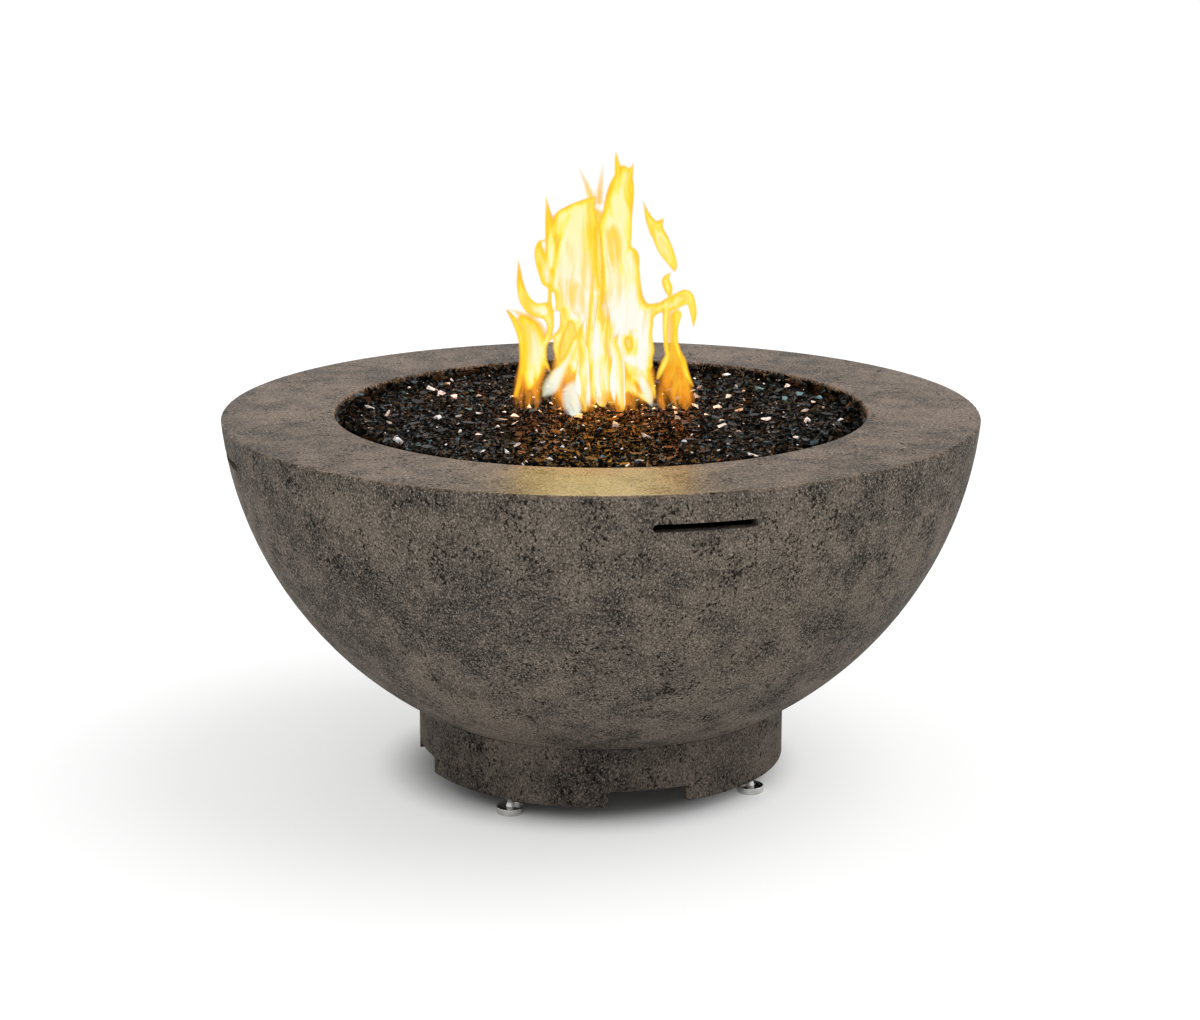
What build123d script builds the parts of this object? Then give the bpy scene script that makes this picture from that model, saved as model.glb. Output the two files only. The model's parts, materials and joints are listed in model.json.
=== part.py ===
from build123d import *
import os
from math import cos, pi, radians, sin, sqrt, tan

os.makedirs("parts", exist_ok=True)

# Propane fire bowl: a cast concrete bowl with a wide flat rim, on a short base ring with four levelling
# feet. Millimetres, +Z up, origin on the ground under the middle of the bowl. The vent slots and the
# notches of the base face -Y, +X, +Y and -X, the feet stand between them, and +Y is the rear.

# Bowl casting
RIM_RADIUS = 609.6
RIM_HEIGHT = 603.25
SIDE_ARC_RADIUS = 604.9
SIDE_FOOT_INSET = 1.23  # foot of the side inside the outer face of the base
BOWL_WALL = 20.0
BOWL_FLOOR = 20.0
FLOOR_HOLE_RADIUS = 110.0
FLOOR_FILLET = 40.0

# Vent slots through the side, one to each quarter
SLOT_LENGTH = 155.0
SLOT_HEIGHT = 12.5
SLOT_DROP = 49.5  # middle of the slot below the top of the rim

# Rim casting, bonded to the top of the bowl
RIM_THICKNESS = 20.0
RIM_EDGE_FILLET = 3.0
OPENING_RADIUS = 429.0
LIP_THICKNESS = 20.0
LIP_FILLET = 8.0
LEDGE_DROP = 40.0
LEDGE_WIDTH = 31.0
LEDGE_THICKNESS = 15.0
REGISTER_WIDTH = 10.0
REGISTER_DEPTH = 10.0
REGISTER_CLEARANCE = 0.6

# Base casting
BASE_RADIUS = 301.0
BASE_TOP = 124.0
BASE_LIFT = 29.0  # lower edge of the base above the ground
BASE_WALL = 14.0
BASE_FLANGE_WIDTH = 47.0
BASE_FLANGE_THICKNESS = 16.0
NOTCH_WIDTH = 127.5
NOTCH_HEIGHT = 26.0
NOTCH_FILLET = 5.5

# Bolts between the bowl and its base
BOLT_COUNT = 4
BOLT_FIRST_ANGLE = 22.5
BOLT_RADIUS = 5.0
BOLT_CLEARANCE = 0.5
BOLT_FLATS = 17.0
BOLT_HEAD = 6.4
BOLT_TAIL = 3.0
NUT_HEIGHT = 8.4
WASHER_RADIUS = 15.0
WASHER_THICKNESS = 2.5

# Levelling feet
FOOT_ANGLES = (45.0, 135.0, 225.0, 315.0)
FOOT_INSET = 20.0  # axis of a foot inside the outer face of the base
FOOT_UP = 10.0
BOSS_RADIUS = 19.0
BOSS_COVER = 12.0
INSERT_RADIUS = 8.0
INSERT_LENGTH = 40.0
STUD_RADIUS = 4.76
STUD_ENGAGEMENT = 37.0
STUD_CHAMFER = 1.0
THREAD_CLEARANCE = 0.05
STUD_CLEARANCE = 0.5
COLLAR_RADIUS = 7.0
COLLAR_HEIGHT = 5.0
COLLAR_TAPER = 5.5
COLLAR_FLATS = 11.0
NECK_RADIUS = 4.0
RIVET_RADIUS = 6.3
RIVET_THICKNESS = 1.4
PAD_RADIUS = 22.0
PAD_HEIGHT = 11.0
PAD_RIM = 2.6
PAD_WEB = 3.5
PAD_RECESS = 2.5
PAD_CHAMFER = 1.0
PAD_LIP_FILLET = 1.15
RIVET_CLEARANCE = 0.7
RIVET_PLAY = 0.3

# Burner pan, a stainless sheet pan hung on the ledge
SHEET = 1.5
PAN_DEPTH = 45.0
PAN_BEND = 4.0
PAN_LEDGE_GAP = 6.0
PAN_LIP_GAP = 3.0
WEEP_RADIUS = 4.0
WEEP_COUNT = 8
WEEP_CIRCLE = 300.0

# Star burner: closed tubes round a hub
SPOKE_COUNT = 6
SPOKE_LENGTH = 152.4
SPOKE_RADIUS = 9.5
TUBE_WALL = 1.5
BURNER_RISE = 25.0  # middle of the tubes above the pan floor
HUB_RADIUS = 26.0
HUB_WALL = 5.0
HUB_CROWN = 12.5
HUB_SOCKET = 13.0
PORT_RADIUS = 1.6
PORT_PITCH = 22.0
PORTS_PER_SPOKE = 5

# Pipe nipple through the pan
NIPPLE_RADIUS = 10.65
NIPPLE_BORE = 7.9
NIPPLE_DROP = 56.0
PIPE_FIT = 0.05
PIPE_HOLE_CLEARANCE = 0.6
PIPE_WASHER_RADIUS = 20.0
PIPE_WASHER_THICKNESS = 2.0
LOCK_NUT_FLATS = 32.0
LOCK_NUT_HEIGHT = 8.0

# Air mixer and its shutter
MIXER_SOCKET = 16.0
MIXER_SOCKET_WALL = 4.4
MIXER_SHOULDER = 10.0
MIXER_TUBE_RADIUS = 12.5
MIXER_TUBE_BORE = 8.0
MIXER_TUBE_LENGTH = 44.0
MIXER_FOOT = 8.0
MIXER_FOOT_RADIUS = 15.0
MIXER_END_WALL = 4.0
WINDOW_WIDTH = 14.0
WINDOW_HEIGHT = 20.0
WINDOW_RISE = 6.0
SHUTTER_WALL = 2.0
SHUTTER_HEIGHT = 38.0
RUNNING_CLEARANCE = 0.05
SCREW_RADIUS = 2.0
SCREW_DROP = 6.0
SCREW_HEAD_RADIUS = 4.5
SCREW_HEAD = 6.0
SCREW_GAP = 0.1

# Gas jet and elbow under the mixer
SPUD_THREAD_RADIUS = 5.0
SPUD_JET_RADIUS = 4.0
SPUD_JET_HEIGHT = 10.0
SPUD_FLATS = 14.0
SPUD_HEX = 8.0
SPUD_TAIL = 12.0
SPUD_TAIL_RADIUS = 6.0
SPUD_BORE = 2.5
JET_BORE = 0.8
ELBOW_RADIUS = 9.0
ELBOW_DROP = 14.0
ELBOW_REACH = 26.0

# Flared gas connections, three-eighths size
FLARE_RADIUS = 7.94
FLARE_LENGTH = 20.0
FLARE_BORE = 4.5
FLARE_NUT_FLATS = 19.05
FLARE_NUT_HALF = 11.0
FLEX_RADIUS = 7.0
FLEX_WALL = 1.5
FLEX_BEND_SHARE = 0.45  # of the shorter run beside a bend, taken up by the bend

# Key valve behind the rear wall
KEY_DROP = 133.25  # middle of the key's hole below the top of the rim
KEY_SEAT_RADIUS = 37.0
KEY_SEAT_DEPTH = 1.3
KEY_HOLE_CLEARANCE = 0.65
SLEEVE_RADIUS = 13.35
SLEEVE_BORE = 10.5
SLEEVE_LENGTH = 47.0
FLANGE_RADIUS = 35.0
FLANGE_THICKNESS = 4.5
FLANGE_EDGE = 1.5
FLANGE_FACE = 2.0  # metal of the flange in front of the sleeve
WALL_NUT_FLATS = 34.0
WALL_NUT_HEIGHT = 9.0
WALL_NUT_SEAT_RADIUS = 24.0
WALL_NUT_SEAT_DEPTH = 0.6
VALVE_RADIUS = 15.0
VALVE_HALF = 25.0
VALVE_HEX_FLATS = 22.0
VALVE_HEX = 6.0
BONNET_RADIUS = 14.0
BONNET_RISE = 18.0
BONNET_SPIGOT = 6.0
BALL_RADIUS = 10.0
CHAMBER_CLEARANCE = 0.4
CHAMBER_HALF = 12.0
SEAT_INNER_FACE = 7.5
STEM_RADIUS = 5.6
STEM_SQUARE = 7.94
STEM_SQUARE_LENGTH = 22.0
TANG_WIDTH = 3.0
TANG_CLEARANCE = 0.1
SLOT_IN_BALL = 3.5
PACKING_SPIGOT_RADIUS = 7.0
PACKING_FLATS = 16.0
PACKING_HEX = 7.0

# Gas inlet on a bracket inside the rear notch
INLET_RISE = 13.0  # axis above the lower edge of the base
INLET_SET_BACK = 23.0  # face of the bracket inside the inner face of the base
INLET_REACH = 27.5
INLET_TAIL = 30.0
INLET_HEX_FLATS = 22.0
INLET_HEX = 6.5
INLET_NUT = 7.0
BRACKET_SHEET = 2.5
BRACKET_WIDTH = 60.0
BRACKET_TAB = 22.0
BRACKET_MARGIN = 12.0
BRACKET_SCREW_SPACING = 36.0
BRACKET_SCREW_RADIUS = 2.4
BRACKET_SCREW_DEPTH = 12.0
BRACKET_SCREW_HEAD_RADIUS = 4.5
BRACKET_SCREW_HEAD = 3.0
BRACKET_HOLE_CLEARANCE = 0.2

# Fire glass, held here as one closed bed with the larger pieces that stand out of it
GLASS_EDGE_DROP = 11.0
GLASS_CROWN = 3.0
GLASS_CLEARANCE = 0.3
GLASS_CORNER = 5.0
BURNER_GAP = 1.0
CHUNK_SPACING = 64.0
CHUNK_LENGTH = 30.0
CHUNK_WIDTH = 22.0
CHUNK_THICKNESS = 13.0
CHUNK_STAND = 2.2  # top of a piece above the bed, at its middle
CHUNK_TAPER = 14.0
CHUNK_TILT = 8.0
CHUNK_OUTLINES = (  # broken shapes, in shares of length and width
    ((-0.5, -0.2), (-0.1, -0.5), (0.45, -0.3), (0.5, 0.25), (-0.2, 0.5)),
    ((-0.5, 0.1), (-0.3, -0.45), (0.5, -0.4), (0.3, 0.45)),
    ((-0.45, -0.4), (0.3, -0.5), (0.5, 0.1), (0.05, 0.5), (-0.5, 0.3)),
)
GOLDEN_ANGLE = 137.508  # from one piece to the next, which spreads them evenly

# Heights and radii that follow from the sizes above
SIDE_FOOT_RADIUS = BASE_RADIUS - SIDE_FOOT_INSET
SIDE_RUN = RIM_RADIUS - SIDE_FOOT_RADIUS
SIDE_RISE = RIM_HEIGHT - BASE_TOP
SIDE_CHORD = sqrt(SIDE_RUN**2 + SIDE_RISE**2)
SIDE_CHORD_DEPTH = sqrt(SIDE_ARC_RADIUS**2 - SIDE_CHORD**2 / 4)  # centre of the arc to its chord
SIDE_ARC_OFFSET = (RIM_RADIUS + SIDE_FOOT_RADIUS) / 2 - SIDE_CHORD_DEPTH * SIDE_RISE / SIDE_CHORD
SIDE_ARC_HEIGHT = (RIM_HEIGHT + BASE_TOP) / 2 + SIDE_CHORD_DEPTH * SIDE_RUN / SIDE_CHORD
RIM_JOINT = RIM_HEIGHT - RIM_THICKNESS
FLOOR_TOP = BASE_TOP + BOWL_FLOOR
BASE_INNER = BASE_RADIUS - BASE_WALL
FLANGE_UNDERSIDE = BASE_TOP - BASE_FLANGE_THICKNESS
FLANGE_INNER = BASE_INNER - BASE_FLANGE_WIDTH
BOLT_CIRCLE = BASE_INNER - BASE_FLANGE_WIDTH / 2
FOOT_CIRCLE = BASE_RADIUS - FOOT_INSET
LEDGE_HEIGHT = RIM_HEIGHT - LEDGE_DROP
LEDGE_RADIUS = OPENING_RADIUS - LEDGE_WIDTH
PAN_RADIUS = LEDGE_RADIUS - PAN_LEDGE_GAP
PAN_FLANGE_RADIUS = OPENING_RADIUS - PAN_LIP_GAP
PAN_UNDERSIDE = LEDGE_HEIGHT - PAN_DEPTH
PAN_FLOOR = PAN_UNDERSIDE + SHEET
BURNER_HEIGHT = PAN_FLOOR + BURNER_RISE
HUB_BOTTOM = PAN_FLOOR + PIPE_WASHER_THICKNESS
NIPPLE_BOTTOM = PAN_UNDERSIDE - NIPPLE_DROP
NIPPLE_TOP = HUB_BOTTOM + HUB_SOCKET
PIPE_HOLE_RADIUS = NIPPLE_RADIUS + PIPE_HOLE_CLEARANCE
MIXER_TUBE_TOP = NIPPLE_BOTTOM - MIXER_SHOULDER
MIXER_FOOT_TOP = MIXER_TUBE_TOP - MIXER_TUBE_LENGTH
MIXER_BOTTOM = MIXER_FOOT_TOP - MIXER_FOOT
WINDOW_MIDDLE = MIXER_FOOT_TOP + WINDOW_RISE + WINDOW_HEIGHT / 2
SPUD_HEX_BOTTOM = MIXER_BOTTOM - SPUD_HEX
ELBOW_HEIGHT = SPUD_HEX_BOTTOM - SPUD_TAIL - ELBOW_DROP
KEY_HEIGHT = RIM_HEIGHT - KEY_DROP
KEY_SINE = (SIDE_ARC_HEIGHT - KEY_HEIGHT) / SIDE_ARC_RADIUS
KEY_COSINE = sqrt(1 - KEY_SINE**2)
SLEEVE_TOP = FLANGE_THICKNESS - FLANGE_FACE - KEY_SEAT_DEPTH
SLEEVE_BOTTOM = SLEEVE_TOP - SLEEVE_LENGTH
FLOW_DEPTH = BONNET_RISE - SLEEVE_BOTTOM  # flow axis of the valve behind the face of the wall
INLET_HEIGHT = BASE_LIFT + INLET_RISE
BRACKET_FACE = BASE_INNER - INLET_SET_BACK


def side_point(height, inset=0.0):
    """Point of the bowl's side at a height, moved square to the surface into the wall by the inset."""
    return (SIDE_ARC_OFFSET + sqrt((SIDE_ARC_RADIUS - inset) ** 2 - (SIDE_ARC_HEIGHT - height) ** 2), height)


def upright_plane(x, y, z=0.0):
    """Plane for a profile in radius and height round an upright axis at x, y."""
    return Plane(origin=(x, y, z), x_dir=(1, 0, 0), z_dir=(0, -1, 0))


def foot_place(angle):
    """Ground point of the foot at an angle."""
    return FOOT_CIRCLE * cos(radians(angle)), FOOT_CIRCLE * sin(radians(angle))


def spoke_plane(angle, radius):
    """Plane square to a burner spoke, on its axis at a radius."""
    along = Vector(cos(radians(angle)), sin(radians(angle)), 0)
    return Plane(origin=along * radius + Vector(0, 0, BURNER_HEIGHT), z_dir=along)


def save(builder, name):
    """Label a finished piece and write its file."""
    builder.part.label = name
    export_step(builder.part, f"parts/{name}.step")


KEY_PLANE = Plane(
    origin=(0, side_point(KEY_HEIGHT)[0], KEY_HEIGHT), x_dir=(1, 0, 0), z_dir=(0, KEY_COSINE, -KEY_SINE)
)
VALVE_PLANE = KEY_PLANE.offset(-FLOW_DEPTH)
VALVE_CENTRE = VALVE_PLANE.origin
FLOW_PLANE = Plane(origin=VALVE_CENTRE, x_dir=VALVE_PLANE.z_dir, z_dir=(1, 0, 0))
VALVE_TIP = VALVE_HALF + FLARE_LENGTH
ELBOW_TIP = ELBOW_REACH + FLARE_LENGTH
INLET_TIP = BRACKET_FACE - INLET_TAIL
SQUARE_DIRECTIONS = (Plane.XZ, Plane.YZ)

# Bowl: side, floor, vent slots and the seat of the key valve
with BuildPart() as bowl_shell:
    with BuildSketch(Plane.XZ) as wall:
        with BuildLine():
            middle = (BASE_TOP + RIM_JOINT) / 2
            outside = ThreePointArc(side_point(BASE_TOP), side_point(middle), side_point(RIM_JOINT))
            inner_top = side_point(RIM_JOINT, BOWL_WALL)
            inner_foot = side_point(FLOOR_TOP, BOWL_WALL)
            Line(outside @ 1, inner_top)
            ThreePointArc(inner_top, side_point(middle, BOWL_WALL), inner_foot)
            Polyline(
                inner_foot,
                (FLOOR_HOLE_RADIUS, FLOOR_TOP),
                (FLOOR_HOLE_RADIUS, BASE_TOP),
                outside @ 0,
            )
        make_face()
        fillet(wall.vertices().sort_by_distance(inner_foot)[0], FLOOR_FILLET)
    revolve(axis=Axis.Z)
    for direction in SQUARE_DIRECTIONS:
        with BuildSketch(direction):
            with Locations((0, RIM_HEIGHT - SLOT_DROP)):
                SlotOverall(SLOT_LENGTH, SLOT_HEIGHT)
        extrude(amount=RIM_RADIUS, both=True, mode=Mode.SUBTRACT)
    with BuildSketch(Plane.XY.offset(BASE_TOP)):
        with PolarLocations(BOLT_CIRCLE, BOLT_COUNT, BOLT_FIRST_ANGLE):
            Circle(BOLT_RADIUS + BOLT_CLEARANCE)
    extrude(amount=BOWL_FLOOR, mode=Mode.SUBTRACT)
    with BuildSketch(KEY_PLANE):
        Circle(SLEEVE_RADIUS + KEY_HOLE_CLEARANCE)
    extrude(amount=BOWL_WALL * 2, both=True, mode=Mode.SUBTRACT)
    with BuildSketch(KEY_PLANE.offset(-KEY_SEAT_DEPTH)):
        Circle(KEY_SEAT_RADIUS)
    extrude(amount=BOWL_WALL, mode=Mode.SUBTRACT)
    with BuildSketch(KEY_PLANE.offset(WALL_NUT_SEAT_DEPTH - BOWL_WALL)):
        Circle(WALL_NUT_SEAT_RADIUS)
    extrude(amount=-BOWL_WALL, mode=Mode.SUBTRACT)
save(bowl_shell, "bowl_shell")

# Rim: flat slab, lip down to the pan's ledge, and a step that centres it in the bowl's wall
with BuildPart() as rim_ring:
    with BuildSketch(Plane.XZ) as slab:
        with BuildLine():
            edge_middle = side_point((RIM_JOINT + RIM_HEIGHT) / 2)
            edge = ThreePointArc(side_point(RIM_JOINT), edge_middle, side_point(RIM_HEIGHT))
            register_bottom = RIM_JOINT - REGISTER_DEPTH
            register_outer = side_point(register_bottom, BOWL_WALL)[0] - REGISTER_CLEARANCE
            lip_outer = OPENING_RADIUS + LIP_THICKNESS
            Polyline(
                edge @ 1,
                (OPENING_RADIUS, RIM_HEIGHT),
                (OPENING_RADIUS, LEDGE_HEIGHT),
                (LEDGE_RADIUS, LEDGE_HEIGHT),
                (LEDGE_RADIUS, LEDGE_HEIGHT - LEDGE_THICKNESS),
                (lip_outer, LEDGE_HEIGHT - LEDGE_THICKNESS),
                (lip_outer, RIM_JOINT),
                (register_outer - REGISTER_WIDTH, RIM_JOINT),
                (register_outer - REGISTER_WIDTH, register_bottom),
                (register_outer, register_bottom),
                (register_outer, RIM_JOINT),
                edge @ 0,
            )
        make_face()
        fillet(slab.vertices().group_by(Axis.Y)[-1], RIM_EDGE_FILLET)
        fillet(slab.vertices().sort_by_distance((lip_outer, RIM_JOINT))[0], LIP_FILLET)
    revolve(axis=Axis.Z)
save(rim_ring, "rim_ring")

# Base: wall, bolting flange, foot bosses and notches
with BuildPart() as base_ring:
    with BuildSketch(Plane.XZ):
        with BuildLine():
            Polyline(
                (BASE_RADIUS, BASE_LIFT),
                (BASE_RADIUS, BASE_TOP),
                (FLANGE_INNER, BASE_TOP),
                (FLANGE_INNER, FLANGE_UNDERSIDE),
                (BASE_INNER, FLANGE_UNDERSIDE),
                (BASE_INNER, BASE_LIFT),
                close=True,
            )
        make_face()
    revolve(axis=Axis.Z)
    pocket_depth = max(INSERT_LENGTH, STUD_ENGAGEMENT + FOOT_UP) + STUD_CHAMFER
    with BuildSketch(Plane.XY.offset(BASE_LIFT)):
        with PolarLocations(FOOT_CIRCLE, len(FOOT_ANGLES), FOOT_ANGLES[0]):
            Circle(BOSS_RADIUS)
    extrude(amount=pocket_depth + BOSS_COVER)
    with BuildSketch(Plane.XY.offset(BASE_LIFT)):
        with PolarLocations(FOOT_CIRCLE, len(FOOT_ANGLES), FOOT_ANGLES[0]):
            Circle(INSERT_RADIUS)
    extrude(amount=INSERT_LENGTH, mode=Mode.SUBTRACT)
    with BuildSketch(Plane.XY.offset(BASE_LIFT)):
        with PolarLocations(FOOT_CIRCLE, len(FOOT_ANGLES), FOOT_ANGLES[0]):
            Circle(STUD_RADIUS + STUD_CLEARANCE)
    extrude(amount=pocket_depth, mode=Mode.SUBTRACT)
    for direction in SQUARE_DIRECTIONS:
        with BuildSketch(direction) as notch:
            with Locations((0, BASE_LIFT)):
                Rectangle(NOTCH_WIDTH, 2 * NOTCH_HEIGHT)
            fillet(notch.vertices().group_by(Axis.Y)[-1], NOTCH_FILLET)
        extrude(amount=BASE_RADIUS * 2, both=True, mode=Mode.SUBTRACT)
    with BuildSketch(Plane.XY.offset(BASE_TOP)):
        with PolarLocations(BOLT_CIRCLE, BOLT_COUNT, BOLT_FIRST_ANGLE):
            Circle(BOLT_RADIUS + BOLT_CLEARANCE)
    extrude(amount=-BASE_FLANGE_THICKNESS, mode=Mode.SUBTRACT)
    with BuildSketch(Plane.XY.offset(FLANGE_UNDERSIDE)):
        with Locations((0, BRACKET_FACE - BRACKET_TAB / 2)):
            with GridLocations(BRACKET_SCREW_SPACING, 0, 2, 1):
                Circle(BRACKET_SCREW_RADIUS)
    extrude(amount=BRACKET_SCREW_DEPTH, mode=Mode.SUBTRACT)
save(base_ring, "base_ring")

# Bolts, washers and nuts that hold the bowl on its base
with BuildPart() as base_washers:
    for height in (FLOOR_TOP, FLANGE_UNDERSIDE - WASHER_THICKNESS):
        with BuildSketch(Plane.XY.offset(height)):
            with PolarLocations(BOLT_CIRCLE, BOLT_COUNT, BOLT_FIRST_ANGLE):
                Circle(WASHER_RADIUS)
                Circle(BOLT_RADIUS + BOLT_CLEARANCE, mode=Mode.SUBTRACT)
        extrude(amount=WASHER_THICKNESS)
save(base_washers, "base_washers")

bolt_seat = FLOOR_TOP + WASHER_THICKNESS
nut_seat = FLANGE_UNDERSIDE - WASHER_THICKNESS
with BuildPart() as base_bolts:
    with BuildSketch(Plane.XY.offset(bolt_seat)):
        with PolarLocations(BOLT_CIRCLE, BOLT_COUNT, BOLT_FIRST_ANGLE):
            RegularPolygon(BOLT_FLATS / 2, 6, major_radius=False)
    extrude(amount=BOLT_HEAD)
    with BuildSketch(Plane.XY.offset(bolt_seat)):
        with PolarLocations(BOLT_CIRCLE, BOLT_COUNT, BOLT_FIRST_ANGLE):
            Circle(BOLT_RADIUS)
    extrude(amount=nut_seat - NUT_HEIGHT - BOLT_TAIL - bolt_seat)
save(base_bolts, "base_bolts")

with BuildPart() as base_nuts:
    with BuildSketch(Plane.XY.offset(nut_seat)):
        with PolarLocations(BOLT_CIRCLE, BOLT_COUNT, BOLT_FIRST_ANGLE):
            RegularPolygon(BOLT_FLATS / 2, 6, major_radius=False)
            Circle(BOLT_RADIUS + THREAD_CLEARANCE, mode=Mode.SUBTRACT)
    extrude(amount=-NUT_HEIGHT)
save(base_nuts, "base_nuts")

# Threaded sleeves in the bosses of the base
with BuildPart() as foot_inserts:
    with BuildSketch(Plane.XY.offset(BASE_LIFT)):
        with PolarLocations(FOOT_CIRCLE, len(FOOT_ANGLES), FOOT_ANGLES[0]):
            Circle(INSERT_RADIUS)
            Circle(STUD_RADIUS + THREAD_CLEARANCE, mode=Mode.SUBTRACT)
    extrude(amount=INSERT_LENGTH)
save(foot_inserts, "foot_inserts")

# Levelling feet: a cup on the ground and a stud that swivels in it, riveted over underneath
dish_floor = PAD_RECESS + PAD_WEB
for number, angle in enumerate(FOOT_ANGLES, start=1):
    foot_x, foot_y = foot_place(angle)
    profile_plane = upright_plane(foot_x, foot_y)
    foot_axis = Axis((foot_x, foot_y, 0), (0, 0, 1))
    recess_radius = RIVET_RADIUS + RIVET_CLEARANCE
    with BuildPart() as foot_pad:
        with BuildSketch(profile_plane) as cup:
            with BuildLine():
                Polyline(
                    (recess_radius, 0),
                    (PAD_RADIUS, 0),
                    (PAD_RADIUS, PAD_HEIGHT),
                    (PAD_RADIUS - PAD_RIM, PAD_HEIGHT),
                    (PAD_RADIUS - PAD_RIM, dish_floor),
                    (NECK_RADIUS + RUNNING_CLEARANCE, dish_floor),
                    (NECK_RADIUS + RUNNING_CLEARANCE, PAD_RECESS),
                    (recess_radius, PAD_RECESS),
                    close=True,
                )
            make_face()
            fillet(cup.vertices().group_by(Axis.Y)[-1], PAD_LIP_FILLET)
            chamfer(cup.vertices().sort_by_distance((PAD_RADIUS, 0))[0], PAD_CHAMFER)
        revolve(axis=foot_axis)
    save(foot_pad, f"foot_pad_{number}")

    rivet_top = PAD_RECESS - RIVET_PLAY
    collar_top = dish_floor + COLLAR_HEIGHT
    stud_top = BASE_LIFT + STUD_ENGAGEMENT
    with BuildPart() as foot_stud:
        with BuildSketch(profile_plane):
            with BuildLine():
                Polyline(
                    (0, rivet_top - RIVET_THICKNESS),
                    (RIVET_RADIUS, rivet_top - RIVET_THICKNESS),
                    (RIVET_RADIUS, rivet_top),
                    (NECK_RADIUS, rivet_top),
                    (NECK_RADIUS, dish_floor),
                    (COLLAR_RADIUS, dish_floor),
                    (COLLAR_RADIUS, collar_top),
                    (STUD_RADIUS, collar_top + COLLAR_TAPER),
                    (STUD_RADIUS, stud_top - STUD_CHAMFER),
                    (STUD_RADIUS - STUD_CHAMFER, stud_top),
                    (0, stud_top),
                    close=True,
                )
            make_face()
        revolve(axis=foot_axis)
        with BuildSketch(Plane(origin=(foot_x, foot_y, dish_floor))):
            with GridLocations(COLLAR_FLATS + COLLAR_RADIUS, 0, 2, 1):
                Rectangle(COLLAR_RADIUS, 2 * COLLAR_RADIUS)
        extrude(amount=COLLAR_HEIGHT, mode=Mode.SUBTRACT)
    save(foot_stud, f"foot_stud_{number}")

# Burner pan
with BuildPart() as burner_pan:
    with BuildSketch(Plane.XZ) as sheet:
        with BuildLine():
            Polyline(
                (PIPE_HOLE_RADIUS, PAN_UNDERSIDE),
                (PAN_RADIUS, PAN_UNDERSIDE),
                (PAN_RADIUS, LEDGE_HEIGHT),
                (PAN_FLANGE_RADIUS, LEDGE_HEIGHT),
                (PAN_FLANGE_RADIUS, LEDGE_HEIGHT + SHEET),
                (PAN_RADIUS - SHEET, LEDGE_HEIGHT + SHEET),
                (PAN_RADIUS - SHEET, PAN_FLOOR),
                (PIPE_HOLE_RADIUS, PAN_FLOOR),
                close=True,
            )
        make_face()
        fillet(sheet.vertices().sort_by_distance((PAN_RADIUS, PAN_UNDERSIDE))[0], PAN_BEND)
        fillet(sheet.vertices().sort_by_distance((PAN_RADIUS - SHEET, PAN_FLOOR))[0], PAN_BEND - SHEET)
        fillet(sheet.vertices().sort_by_distance((PAN_RADIUS - SHEET, LEDGE_HEIGHT + SHEET))[0], PAN_BEND)
        fillet(sheet.vertices().sort_by_distance((PAN_RADIUS, LEDGE_HEIGHT))[0], PAN_BEND - SHEET)
    revolve(axis=Axis.Z)
    with BuildSketch(Plane.XY.offset(PAN_UNDERSIDE)):
        with PolarLocations(WEEP_CIRCLE, WEEP_COUNT):
            Circle(WEEP_RADIUS)
    extrude(amount=SHEET, mode=Mode.SUBTRACT)
save(burner_pan, "burner_pan")

# Star burner: hub and spokes, hollow throughout, with gas ports along the top of each spoke
spoke_angles = [360 / SPOKE_COUNT * number for number in range(SPOKE_COUNT)]
chamber_radius = HUB_RADIUS - HUB_WALL
with BuildPart() as star_burner:
    with BuildSketch(Plane.XY.offset(HUB_BOTTOM)):
        Circle(HUB_RADIUS)
    extrude(amount=BURNER_HEIGHT + HUB_CROWN - HUB_BOTTOM)
    for angle in spoke_angles:
        with BuildSketch(spoke_plane(angle, chamber_radius)):
            Circle(SPOKE_RADIUS)
        extrude(amount=SPOKE_LENGTH - chamber_radius)
    with BuildSketch(Plane.XY.offset(NIPPLE_TOP)):
        Circle(chamber_radius)
    extrude(amount=BURNER_HEIGHT + HUB_CROWN - HUB_WALL - NIPPLE_TOP, mode=Mode.SUBTRACT)
    for angle in spoke_angles:
        with BuildSketch(spoke_plane(angle, chamber_radius - TUBE_WALL)):
            Circle(SPOKE_RADIUS - TUBE_WALL)
        extrude(amount=SPOKE_LENGTH - chamber_radius, mode=Mode.SUBTRACT)
    with BuildSketch(Plane.XY.offset(HUB_BOTTOM)):
        Circle(NIPPLE_RADIUS + PIPE_FIT)
    extrude(amount=HUB_SOCKET, mode=Mode.SUBTRACT)
    with BuildSketch(Plane.XY.offset(BURNER_HEIGHT)):
        for number in range(1, PORTS_PER_SPOKE + 1):
            with PolarLocations(SPOKE_LENGTH - number * PORT_PITCH, SPOKE_COUNT):
                Circle(PORT_RADIUS)
    extrude(amount=2 * SPOKE_RADIUS, mode=Mode.SUBTRACT)
save(star_burner, "star_burner")

# Pipe nipple that carries the burner, clamped to the pan by washers and a nut
with BuildPart() as burner_nipple:
    with BuildSketch(Plane.XY.offset(NIPPLE_BOTTOM)):
        Circle(NIPPLE_RADIUS)
        Circle(NIPPLE_BORE, mode=Mode.SUBTRACT)
    extrude(amount=NIPPLE_TOP - NIPPLE_BOTTOM)
save(burner_nipple, "burner_nipple")

with BuildPart() as pan_washers:
    for height in (PAN_FLOOR, PAN_UNDERSIDE - PIPE_WASHER_THICKNESS):
        with BuildSketch(Plane.XY.offset(height)):
            Circle(PIPE_WASHER_RADIUS)
            Circle(PIPE_HOLE_RADIUS, mode=Mode.SUBTRACT)
        extrude(amount=PIPE_WASHER_THICKNESS)
save(pan_washers, "pan_washers")

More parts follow.
